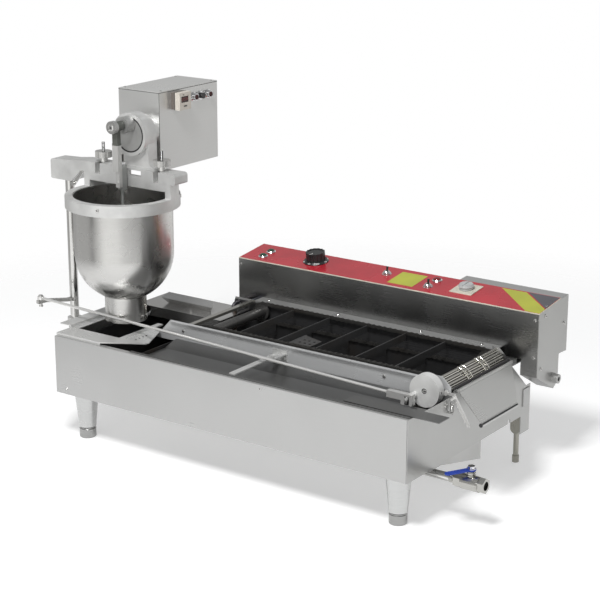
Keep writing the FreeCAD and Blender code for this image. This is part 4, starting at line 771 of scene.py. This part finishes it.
NODE_FINISHES = {
    CASING: ("outer_body", "rear_shelf", "rear_box"),
    SheetSteel("deck_steel", (0.66, 0.66, 0.65), roughness=0.28, metallic=0.6): (
        "deck_plate", "rod_guide",
    ),
    SheetSteel("cover_steel", (0.55, 0.545, 0.535), roughness=0.22, metallic=0.85): ("rear_cover",),
    SheetSteel(
        "rail_steel", (0.42, 0.42, 0.415), roughness=0.30, metallic=0.6, darkened_below=246.0
    ): ("side_plate_rear",),
    # The drip tray's near-black colour is painted shade: the shade and dark reflections down in the
    # trough.
    SheetSteel("tray_steel", (0.19, 0.19, 0.188), roughness=0.33, metallic=0.9): ("drip_tray",),
    SheetSteel("plate_steel", (0.60, 0.605, 0.61), roughness=0.26, metallic=0.45): (
        "side_plate_front",
    ),
    # The control box's darkened colour is a painted reflection of the dark surroundings in its
    # mirror-like front.
    SheetSteel("mirror_steel", (0.34, 0.34, 0.335), roughness=0.27, metallic=1.0): ("control_box",),
    SheetSteel(
        "casing_steel_z", (0.45, 0.45, 0.44), roughness=0.32, grain=Grain.ALONG_Z, metallic=0.75
    ): ("right_end_wall", "control_end_plate"),
    SheetSteel("rear_leg_steel", (0.36, 0.35, 0.31), grain=Grain.ALONG_Z, metallic=0.75): (
        "rear_legs",
    ),
    SheetSteel(
        "chute_steel", (0.52, 0.52, 0.51), roughness=0.30, grain=Grain.ALONG_Y, depth=0.0000005,
        metallic=0.75,
    ): ("discharge_chute",),
    SheetSteel(
        "box_steel", (0.66, 0.66, 0.65), grain=Grain.ALONG_Y, roughness=0.34, metallic=0.8
    ): ("head_box",),
    SheetSteel("lid_steel", (0.62, 0.62, 0.61), roughness=0.30, metallic=0.5): ("head_box_lid",),
    TurnedMetal("spun_steel", (0.60, 0.595, 0.58), roughness=0.25, depth=0.000005): (
        "hopper", "batter_cylinder",
    ),
    ROD_STEEL: ("post_tube", "rock_shaft", "drain_pipe", "lever_arm", "pawl_spring"),
    SheetSteel("fork_steel", (0.74, 0.735, 0.72), roughness=0.22, metallic=0.6): (
        "push_rod", "drive_pawl",
    ),
    BAR_STEEL: ("frame_crossbars",),
    SCREW_STEEL: ("fasteners", "left_clamp_nut", "right_clamp_nut"),
    TurnedMetal("foot_steel", (0.36, 0.36, 0.355), roughness=0.26): (
        "left_front_foot", "right_front_foot",
    ),
    CHROME: ("pilot_lamps",),
    CAST: ("head_casting", "hopper_holder", "post_bracket"),
    SandCast("crank_casting", (0.50, 0.50, 0.49), grit=1400.0, depth=0.00004, roughness=0.36): (
        "crank_disc",
    ),
    SandCast("bright_casting", (0.42, 0.43, 0.42), grit=1400.0, depth=0.00004): (
        "plunger", "shaft_bearings",
    ),
    TwoTone("rod_aluminium", (0.12, 0.13, 0.12), (0.56, 0.56, 0.55), 606.0, "Z", 0.55): (
        "connecting_rod",
    ),
    SandCast("disc_aluminium", (0.80, 0.80, 0.79), grit=1500.0, depth=0.00004, metallic=0.45): (
        "clutch_disc",
    ),
    TurnedMetal("leg_aluminium", (0.56, 0.565, 0.56), roughness=0.27, depth=0.000004): (
        "front_legs",
    ),
    OiledSteel("tank_steel", (0.044, 0.044, 0.045), roughness=0.34, clean_below=110.0): (
        "oil_tank",
    ),
    OiledSteel("flight_steel", (0.11, 0.11, 0.112), varnish=(0.07, 0.055, 0.04), roughness=0.36): (
        "conveyor_flights", "flipper", "conveyor_chains",
    ),
    DARK_STEEL_AND_SHADE: ("drive_shaft", "idler_shaft"),
    CREAM: ("control_panel",),
    Plastic("black_plastic", (0.016, 0.016, 0.017), roughness=0.27): (
        "thermostat_knob", "head_button", "toggle_lever_1", "toggle_lever_2",
    ),
    Plastic("grey_plastic", (0.40, 0.41, 0.41)): ("speed_knob",),
    TwoTone("counter_case", (0.62, 0.58, 0.52), (0.13, 0.115, 0.105), 118.0): ("counter",),
    VALVE_STEEL: ("valve_body",),
    Plastic("blue_vinyl", (0.010, 0.045, 0.36), roughness=0.36): ("valve_lever",),
    Enamel("motor_paint", (0.10, 0.11, 0.12), roughness=0.42): ("head_gearmotor",),
    HeatedSheath("heater_sheath"): ("heating_element",),
}


@dataclass
class Screw:
    """Pan head, with the shade in its cross recess painted as a dark cross."""

    place: Triple
    along: Triple
    radius: float = 3.5
    rise: float = 2.1

    def draw_head(self, shape: Shape) -> None:
        """Draw the domed head."""
        dome = ((1.0, 0.0), (1.0, 0.45), (0.86, 0.78), (0.55, 0.96), (0.12, 1.0))
        profile = [(self.radius * out, self.rise * up) for out, up in dome]
        shape.lathe(profile, self.place, self.along, sides=28)

    def draw_cross(self, shape: Shape) -> None:
        """Draw the shade of the cross recess as a dark cross, a hair above the dome."""
        axis = Vector(self.along).normalized()
        side = axis.orthogonal().normalized()
        half = self.radius * 0.52
        wide = self.radius * 0.13
        for first in (side, axis.cross(side)):
            second = axis.cross(first)
            corners = [first * half + second * wide, first * half - second * wide,
                       -first * half - second * wide, -first * half + second * wide]
            rings = []
            for level in (self.rise * 0.4, self.rise * 1.03):
                middle = Vector(self.place) + axis * level
                rings.append(shape.loop(middle + corner for corner in corners))
            shape.skin(rings)


def build_screws(screws: list[Screw], heads: str, crosses: str, body: str = "machine") -> None:
    """Build the heads of several screws as one piece and the painted shade of their cross recesses
    as another.

    Args:
        screws: The screws, which all ride on one body.
        heads: Name of the piece with the heads.
        crosses: Name of the piece with the painted shade of the crosses.
        body: Body that they ride on.
    """
    domes = Shape()
    cross_shade = Shape()
    for screw in screws:
        screw.draw_head(domes)
        screw.draw_cross(cross_shade)
    domes.build(heads, SCREW_STEEL, body)
    cross_shade.build(crosses, SHADOW_GAP, body)


def thread(root: float, crest: float, start: float, rise: float, pitch: float,
           turns: int) -> list[Pair]:
    """Give the profile of a thread for a lathe.

    Args:
        root: Radius in the grooves.
        crest: Radius of the crests.
        start: Distance of the first groove along the line.
        rise: Distance from a groove to its crest.
        pitch: Distance from crest to crest.
        turns: Number of crests.

    Returns:
        Pairs of radius and distance.
    """
    return [pair for turn in range(turns)
            for pair in ((root, start + pitch * turn), (crest, start + rise + pitch * turn))]


@dataclass
class ScrewHeads:
    """Visible screws of the casing, the boxes and the hopper's ring."""

    ring_axis: Pair = (76.0, 136.0)
    ring_radius: float = 117.45
    ring_angles: Triple = (-74.0, 46.0, 166.0)

    def build(self) -> None:
        """Build the screws of the casing and those of the ring."""
        rail = [Screw((x, 384, 249), UP) for x in (262, 440, 640, 780)]
        front = [Screw((x, 398, z), FORWARD) for x, z in ((176.5, 313), (887, 313), (887, 238))]
        plates = [Screw((x, 155.5, 231), FORWARD) for x in (213, 700)]
        end = [Screw((896, y, z), RIGHT) for y, z in ((412, 213), (423, 318), (504, 284))]
        rim = [Screw((x, 0, z), FORWARD, 2.5, 1.5) for x, z in ((524, 214), (28, 112))]
        lid = [Screw((x, y, 703), UP, 2.6, 1.4) for x in (102, 6) for y in (232, 396)]
        height = PANEL_FOOT + 40 * math.tan(PANEL_SLOPE)
        panel = [Screw((890.0, 438.0, height), (0, -0.123, 0.992), 2.6, 1.5)]
        casing = rail + front + plates + end + rim + lid + panel
        build_screws(casing, "casing_screw_heads", "casing_screw_crosses")
        build_screws(self.ring(), "ring_screw_heads", "ring_screw_crosses")

    def ring(self) -> list[Screw]:
        """Give the screws round the hopper's ring."""
        screws = []
        for angle in self.ring_angles:
            out = (math.cos(math.radians(angle)), math.sin(math.radians(angle)))
            foot = [middle + self.ring_radius * part for middle, part in zip(self.ring_axis, out)]
            screws.append(Screw((*foot, 495.0), (*out, 0.0), 3.9, 2.2))
        return screws


@dataclass
class RollerChain:
    """The two conveyor chains, link by link, in place of the plain bands."""

    links: int = 94
    pitch_radius: float = 18.6
    left: float = 262.0
    right: float = 804.0
    level: float = 230.5
    faces: Pair = (163.0, 357.0)
    width: float = 5.0
    plate: float = 0.62
    plate_gap: float = 0.12
    half_height: float = 3.9
    waist: float = 0.62
    roller: Pair = (3.05, 2.16)
    rivet: Pair = (1.4, 5.5)

    @property
    def straight(self) -> float:
        """Length of one straight run."""
        return self.right - self.left

    @property
    def pitch(self) -> float:
        """Distance from pin to pin."""
        return (2 * self.straight + 2 * math.pi * self.pitch_radius) / self.links

    def pin(self, index: int) -> Vector:
        """Give a pin's place in the loop's plane.

        Args:
            index: Number of the pin, counted from the left end of the upper run.

        Returns:
            Its X and Z.
        """
        radius = self.pitch_radius
        lower, far = divmod((index % self.links) * self.pitch, self.straight + math.pi * radius)
        start, sense = (self.right, -1) if lower else (self.left, 1)
        turn = max(0.0, far - self.straight) / radius
        return Vector((start + sense * (min(far, self.straight) + radius * math.sin(turn)),
                       self.level + sense * radius * math.cos(turn)))

    def plate_outline(self, start: Vector, end: Vector) -> list[Pair]:
        """Give the waisted outline of a link plate between two pins."""
        along = (end - start).normalized()
        across = Vector((-along.y, along.x))
        outline = []
        for foot, sense in ((end, 1), (start, -1)):
            for step in range(7):
                angle = math.pi * (0.5 - step / 6)
                outline.append(foot + sense * (along * math.cos(angle) + across * math.sin(angle))
                               * self.half_height)
            outline.append((start + end) / 2 - sense * across * self.half_height * self.waist)
        return [tuple(corner) for corner in outline]

    def build(self) -> None:
        """Build both chains as one piece."""
        shape = Shape()
        for face in self.faces:
            for index in range(self.links):
                start, end = self.pin(index), self.pin(index + 1)
                outline = self.plate_outline(start, end)
                inset = 0.0 if index % 2 else self.plate + self.plate_gap
                for low in (face + inset, face + self.width - inset - self.plate):
                    shape.prism(outline, Axis.Y, low, low + self.plate)
                for (radius, length), sides in ((self.roller, 14), (self.rivet, 10)):
                    foot = (start.x, face + (self.width - length) / 2, start.y)
                    shape.lathe([(radius, 0), (radius, length)], foot, (0, 1, 0), sides)
        shape.build("roller_chains", CHAIN_STEEL, replaces=["conveyor_chains"])


@dataclass
class PanelDress:
    """Film, labels, scales and switch collars on the sloping panel."""

    left: float = 172.2
    right: float = 894.8
    depth: float = 89.6
    film: float = 0.22
    label: float = 0.2
    toggles: tuple[Pair, ...] = ((515.5, 449.5), (628.5, 426.5))
    green_lamps: tuple[Pair, ...] = ((218.5, 422.0), (218.5, 450.5))
    red_lamps: tuple[Pair, ...] = ((630.0, 460.5),)
    thermostat: Pair = (338.4, 447.9)
    speed: Pair = (706.5, 446.0)

    def build(self) -> None:
        """Build everything on the panel."""
        self.build_film()
        self.build_labels()
        self.build_collars()
        self.build_dial_plate()
        self.build_lenses()
        self.build_figures()

    def flat(self, outline: list[Pair], low: float, high: float, name: str, finish: Finish) -> None:
        """Lay a thin shape on the panel, given by machine X and distance up the slope."""
        Shape(on_panel(0.0, PANEL_FRONT)).prism(outline, Axis.Z, low, high).build(
            name, finish, slot=Slot.FILM)

    def build_film(self) -> None:
        """Build the crimson film, with the sheet's bare edge round it."""
        outline = rectangle(self.left, 1.6, self.right, self.depth)
        self.flat(outline, 0.02, self.film, "panel_film", FILM_RED)

    def build_labels(self) -> None:
        """Build the blank lime label, the lime stripe and the dark corner."""
        low, high = self.film, self.film + self.label
        self.flat(rectangle(540, 14, 600, 76), low, high, "lime_label", FILM_LIME)
        stripe = [(767, 86), (822, 86), (894.5, 25), (894.5, 2.2), (864, 2.2)]
        self.flat(stripe, low, high, "lime_stripe", FILM_LIME)
        corner = [(825, 88), (894, 88), (894.5, 28)]
        self.flat(corner, low, high, "dark_corner", FILM_DARK)

    def build_collars(self) -> None:
        """Build washer, nut and threaded bush of each toggle switch."""
        shape = Shape()
        for x, y in self.toggles:
            shape.turn = on_panel(x, y)
            washer = [(10.2, 0.25), (10.2, 0.9), (9.7, 1.1), (5.4, 1.1), (5.4, 0.25)]
            shape.lathe(washer, hollow=True)
            shape.hexagon((0, 0, 1.1), UP, 16.5, 3.1)
            bush = [(5.26, 3.2), *thread(5.46, 5.76, 3.35, 0.30, 0.65, 6), (5.4, 7.3), (4.0, 7.3),
                    (4.0, 7.02), (5.26, 6.9)]
            shape.lathe(bush, hollow=True)
        shape.build("switch_collars", CHROME)

    def build_dial_plate(self) -> None:
        """Build the pale dial plate's printed frame and its scale."""
        plate = Shape(on_panel(*self.speed))
        outer, inner = DIAL_HALF + 0.2, DIAL_HALF - 4.0
        rings = [plate.loop((x, y, z) for x, y in rectangle(-half, -half, half, half))
                 for half, z in ((outer, 0.2), (outer, 2.1), (inner, 2.1), (inner, 1.6))]
        plate.skin(rings, ends=False)
        plate.build("dial_frame", CREAM, slot=Slot.GREY, bevel=0.3)
        scale = Shape()
        for index in range(11):
            angle = math.radians(135 - 27 * index)
            scale.turn = on_panel(*self.speed) @ Matrix.Rotation(angle, 4, "Z")
            reach = 20.2 if index % 5 else 21.0
            scale.slab((-0.35, 17.4, 1.76), (0.35, reach, 1.86))
        scale.build("dial_scale", INK_AND_SHADE, slot=Slot.GREY)

    def build_lenses(self) -> None:
        """Build the domed lenses of the three pilot lamps and the painted shade in the grooves
        round them.
        """
        dome = [(7.45, 4.3), (7.45, 5.3), (7.0, 5.9), (5.2, 6.9), (2.6, 7.5), (0.3, 7.65)]
        for name, places, finish in (("green_lenses", self.green_lamps, GREEN_GLASS),
                                     ("red_lens", self.red_lamps, RED_GLASS)):
            lens = Shape()
            for x, y in places:
                lens.turn = on_panel(x, y)
                lens.lathe(dome)
            lens.build(name, finish, slot=Slot.BLACK)
        # Painted shade: a black ring fills the groove between lens and bezel.
        groove = Shape()
        for x, y in self.green_lamps + self.red_lamps:
            groove.turn = on_panel(x, y)
            groove.lathe(rectangle(7.5, 4.3, 8.3, 4.78), hollow=True)
        groove.build("lens_grooves", INK_AND_SHADE, slot=Slot.BLACK)

    def build_figures(self) -> None:
        """Build the figures on the thermostat's skirt and the marks on both knobs."""
        figures = Shape(on_panel(*self.thermostat))
        for index, text in enumerate(("0", "50", "100", "150", "200", "250", "300")):
            turn = Matrix.Rotation(math.radians(-132 + 44 * index), 4, "Z")
            face = Matrix.Translation((0, -25.8, 3.0)) @ Matrix.Rotation(math.radians(45), 4, "X")
            figures.letters(text, 3.2, turn @ face)
        figures.slab((-0.7, -20.2, 21.9), (0.7, -16.7, 22.25))
        figures.slab((-0.7, -16.3, 20.7), (0.7, -9, 21.05))
        figures.build("thermostat_figures", WHITE_INK, "thermostat_dial", Slot.BLACK)
        Shape(on_panel(*self.speed)).slab((-0.7, -13.2, 11.5), (0.7, -2, 11.8)).build(
            "speed_mark", WHITE_INK, "speed_dial", Slot.GREY)


@dataclass
class HeadDress:
    """Counter, lamps, nuts, studs and painted seam shade of the batter head."""

    face: float = 108.0
    lamp_y: tuple[float, ...] = (330.0, 352.0, 377.0)
    lamp_z: float = 679.0
    stud_x: Pair = (-2.0, 154.0)
    stud_y: float = 169.0
    crank_x: float = 76.0
    crank_z: float = 622.0
    crank_face: float = 161.0
    cap_y: float = 107.0
    pin_z: float = 644.0
    box_low: Pair = (0.0, 219.0)
    box_high: Pair = (108.0, 410.0)
    box_heights: Triple = (539.4, 700.3, 701.25)

    def build(self) -> None:
        """Build everything on the head."""
        self.build_counter()
        self.build_lamps()
        self.build_studs()
        self.build_crank_cap()
        self.build_coupling()
        self.build_box_edges()

    def build_counter(self) -> None:
        """Build the counter's window, its figures, painted shade in its reset slits and its
        mounting frame.
        """
        Shape().slab((129.05, 263.2, 677.2), (130.2, 286.8, 689.8)).build(
            "counter_window", DARK_GLASS, slot=Slot.BEIGE, bevel=0.2)
        figures = Shape(Matrix.Translation((130.25, 275.0, 683.4)) @ FACE_RIGHT)
        figures.letters("0000", 7.4, Matrix())
        figures.build("counter_figures", LAMP_RED, slot=Slot.BEIGE)
        # The slits are dark slabs of painted shade.
        slit = Shape().slab((130.8, 270.5, 668.6), (131.4, 280.5, 671.0))
        slit.slab((130.8, 268.0, 692.6), (131.3, 271.5, 694.2))
        slit.build("counter_slits", INK_AND_SHADE, slot=Slot.BEIGE)
        outline = rectangle(257.0, 661.5, 294.5, 698.5)
        Shape().prism(outline, Axis.X, 117.3, 118.6).build(
            "counter_frame", INK_AND_SHADE, slot=Slot.BLACK, bevel=0.3)

    def build_lamps(self) -> None:
        """Build the bezels and lenses beside the counter."""
        bezels = Shape()
        lenses = Shape()
        for y in self.lamp_y:
            foot = (self.face, y, self.lamp_z)
            bezels.hexagon(foot, RIGHT, 17.5, 2.6)
            if y != self.lamp_y[1]:
                bezel = [(7.6, 2.5), (7.6, 9.2), (7.1, 9.8), (5.6, 9.8), (5.6, 9.2)]
                bezels.lathe(bezel, foot, RIGHT, hollow=True)
                lens = [(5.55, 9.1), (5.4, 10.6), (4.2, 12.0), (2.2, 12.8), (0.3, 13.0)]
                lenses.lathe(lens, foot, RIGHT, sides=28)
        bezels.build("lamp_bezels", CHROME)
        lenses.build("lamp_lenses", DARK_GLASS, slot=Slot.BLACK)

    def build_studs(self) -> None:
        """Build the threads of the two studs."""
        shape = Shape()
        for x in self.stud_x:
            profile = [(3.02, 578.4), *thread(3.05, 3.35, 578.8, 0.5, 1.0, 18), (3.02, 596.9)]
            shape.lathe(profile, (x, self.stud_y, 0), UP, sides=24)
        shape.build("stud_threads", STUD_STEEL)

    def build_crank_cap(self) -> None:
        """Build the crank pin's cap screw and the washer round it."""
        place = (self.crank_x, self.cap_y, self.pin_z)
        screw = Screw(place, FORWARD, 6.5, 1.6)
        # The cap screw's cross is painted shade of its recess.
        build_screws([screw], "crank_cap_screw", "crank_cap_cross", "crank")
        profile = [(8.2, -0.2), (8.2, 0.7), (12.4, 0.7), (12.9, -0.2)]
        Shape().lathe(profile, place, FORWARD, hollow=True).build(
            "crank_cap_washer", ROD_STEEL, "crank")

    def build_coupling(self) -> None:
        """Build the painted shadow ring round the crank disc and the bolt above the plunger's
        block.
        """
        profile = rectangle(34.1, -0.2, 37.0, 0.2)
        middle = (self.crank_x, self.crank_face, self.crank_z)
        # Dark ring painted as the shadow round the recessed crank disc.
        Shape().lathe(profile, middle, FORWARD, sides=72, hollow=True).build(
            "crank_gap", SHADOW_GAP, slot=Slot.CAST)
        x, y, z = self.crank_x + 1.0, 136.0, 564.1
        profile = [(3.6, 4.5), *thread(3.62, 4.25, 5.0, 0.75, 1.5, 11), (3.62, 21.2), (2.9, 22.0)]
        Shape().lathe(profile, (x, y, z), sides=24).build(
            "coupling_bolt", DARK_STEEL_AND_SHADE, "plunger_body")
        washer, thick = [(6.4, 0.0), (6.4, 1.1), (2.5, 1.1), (2.5, 0.0)], 1.1
        nut = Shape().lathe(washer, (x, y, z), hollow=True)
        nut.hexagon((x, y, z + thick), UP, 11.0, 5.6)
        nut.build("coupling_nut", CHROME, "plunger_body")

    def build_box_edges(self) -> None:
        """Build the painted shade in the seam under the lid and along the box's front right corner.
        """
        seam = Shape()
        (left, front), (right, rear) = self.box_low, self.box_high
        low, seam_low, seam_high = self.box_heights
        proud, deep = 0.25, 0.3
        # Strips of painted shade in the gap under the lid, all round the box.
        for west, south, east, north in (
                (left - proud, front - proud, right + proud, front + deep),
                (left - proud, rear - deep, right + proud, rear + proud),
                (left - proud, front - proud, left + deep, rear + proud),
                (right - deep, front - proud, right + proud, rear + proud)):
            seam.slab((west, south, seam_low), (east, north, seam_high))
        # Painted shade line along the box's front right corner.
        seam.slab((right - 0.2, front - 0.1, low), (right + proud, front + 0.7, seam_low))
        seam.build("lid_seam", SHADOW_GAP, slot=Slot.CASING)


@dataclass
class DrainDress:
    """Stem nut and gland of the drain valve, and the thread of the drain pipe."""

    stem: Pair = (924.0, 101.0)
    pipe_y: float = 101.0
    pipe_z: float = 88.0
    pipe_radius: float = 8.25
    thread_end: float = 893.0

    def build(self) -> None:
        """Build the valve's small pieces."""
        high = (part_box("valve_lever")[1] - CORNER) / MM
        foot = (*self.stem, high.z - 4.6)
        washer = [(8.6, -0.9), (8.6, 0.0), (4.0, 0.0), (4.0, -0.9)]
        nut = Shape().hexagon(foot, UP, 13.0, 4.8)
        nut.lathe(washer, foot, hollow=True).build("valve_stem_nut", CHROME, "drain_handle")
        low = self.pipe_z + 14.0
        steps = ((8.8, 0.0), (8.8, 1.6), (7.0, 2.2), (7.0, 3.4), (8.2, 3.9), (8.2, 6.2), (4.3, 6.6),
                 (4.3, 0.0))
        profile = [(radius, low + rise) for radius, rise in steps]
        Shape().lathe(profile, (*self.stem, 0.0), hollow=True).build(
            "valve_gland", VALVE_STEEL, slot=Slot.VALVE)
        root = self.pipe_radius + 0.03
        ridges = thread(self.pipe_radius + 0.05, self.pipe_radius + 0.55, 0.4, 0.7, 1.4, 8)
        profile = [(root, 0.0), *ridges, (root, 11.8)]
        foot = (self.thread_end - 12.0, self.pipe_y, self.pipe_z)
        Shape().lathe(profile, foot, RIGHT).build("drain_thread", VALVE_STEEL, slot=Slot.VALVE)


@dataclass
class DischargeDress:
    """Wires between the discharge rods, the painted shade between them, the disc's screw and the
    hems.
    """

    wires: tuple[Pair, ...] = ((824.8, 249.4), (833.2, 243.4), (839.8, 236.0))
    links: Pair = (226.0, 289.0)
    reach: Pair = (157.2, 367.8)
    hem: Pair = (908.6, 177.2)
    shade_line: Pair = (850.6, 236.4)
    disc: Triple = (804.0, 129.3, 230.5)

    def build(self) -> None:
        """Build the small pieces of the discharge side."""
        self.build_wires()
        self.build_hems()
        self.build_disc_screw()

    def build_hems(self) -> None:
        """Build the painted shade in the gap above the chute and in the slit of its rolled edge."""
        # Dark bar of painted shade along the gap between the end wall and the chute.
        x, z = self.shade_line
        Shape().rod((x, 158.0, z), (x, 366.0, z), 2.5, 16).build(
            "discharge_gap_shade", SHADOW_GAP, slot=Slot.CASING)
        x, z = self.hem
        # Painted shade inside the rolled edge: a dark slit and its dark open end.
        slit = Shape().rod((x, 162.4, z), (x, 297.0, z), 2.0, 16)
        end = (906.8, 162.1, 175.4)
        slit.lathe([(3.9, 0.0), (3.9, 0.5), (0.4, 0.6)], end, FORWARD, sides=28)
        slit.build("chute_slit", SHADOW_GAP, "chute", Slot.CASING)

    def build_disc_screw(self) -> None:
        """Build the disc's middle screw, the painted shade of its cross recess and the painted
        shadow ring round it.
        """
        x, y, z = self.disc
        # Dark ring painted as the shadow round the screw.
        profile = rectangle(3.95, -0.2, 5.2, 0.12)
        Shape().lathe(profile, self.disc, FORWARD, hollow=True).build(
            "disc_screw_ring", SHADOW_GAP, "clutch", Slot.CAST)
        screw = Screw((x, y + 1.6, z), FORWARD, 3.7, 1.7)
        build_screws([screw], "disc_screw", "disc_screw_cross", "clutch")

    def build_wires(self) -> None:
        """Build the wires, the dark rods of painted shade between them and the links that bind
        them.
        """
        # Dark rods laid a little below and between the wires stand in for the shade in their gaps.
        wire_shade = Shape()
        for start, end in zip(self.wires, self.wires[1:]):
            x, z = (start[0] + end[0]) / 2 - 2.0, (start[1] + end[1]) / 2 - 2.0
            wire_shade.rod((x, self.reach[0], z), (x, self.reach[1], z), 1.4, 12)
        wire_shade.build("wire_gap_shade", DARK_STEEL_AND_SHADE)
        shape = Shape()
        for x, z in self.wires:
            shape.rod((x, self.reach[0], z), (x, self.reach[1], z), 1.25, 16)
        path = [(818.2, 253.9), (825.0, 252.4), (831.6, 248.6), (838.6, 242.2), (844.6, 233.4)]
        for y in self.links:
            for side in (-1.8, 12.8):
                shape.tube([(x, y + side, z) for x, z in path], 1.1)
        shape.build("discharge_wires", WIRE_STEEL)


@dataclass
class CylinderDress:
    """Strap and wing screw that hold the batter cylinder."""

    axis: Pair = (76.0, 136.0)
    bearing: float = 18.0

    def build(self) -> None:
        """Build the strap with its wing screw."""
        turn = (Matrix.Translation((*self.axis, 0.0))
                @ Matrix.Rotation(math.radians(self.bearing), 4, "Z"))
        Shape(turn).slab((43.3, -4.0, 244.0), (44.9, 4.0, 288.0)).build(
            "cylinder_strap", BAR_STEEL, slot=Slot.CAST, bevel=0.3)
        screw = Shape(turn).rod((44.9, 0.0, 252.5), (52.0, 0.0, 252.5), 2.0, 16)
        for sense in (-1, 1):
            path = [(50.0, sense * 1.0, 252.5), (51.0, sense * 3.6, 254.6),
                    (51.6, sense * 6.4, 257.4)]
            screw.tube(path, 1.5)
        screw.build("wing_screw", CHROME)


@dataclass
class CasingDress:
    """Painted shade line in the seam at the front right corner of the sheet casing."""

    low: Triple = (848.2, -0.35, 101.4)
    high: Triple = (848.6, 0.2, 221.6)

    def build(self) -> None:
        """Build the painted shade line."""
        Shape().slab(self.low, self.high).build(
            "casing_corner_seam", SHADOW_GAP, slot=Slot.CASING)


def dress_nodes() -> None:
    """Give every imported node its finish."""
    for finish, names in NODE_FINISHES.items():
        material = finished(finish)
        for name in names:
            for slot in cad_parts[name].material_slots:
                slot.material = material
            LOG.info("dressed %s with %s", name, finish.name)


def main() -> None:
    """Build the picture and every piece."""
    logging.basicConfig(level=logging.INFO, format="%(message)s")
    Studio().build()
    dress_nodes()
    assemblies = (ScrewHeads(), RollerChain(), PanelDress(), HeadDress(), DischargeDress(),
                  DrainDress(), CylinderDress(), CasingDress())
    for assembly in assemblies:
        assembly.build()


if __name__ == "__main__":
    main()
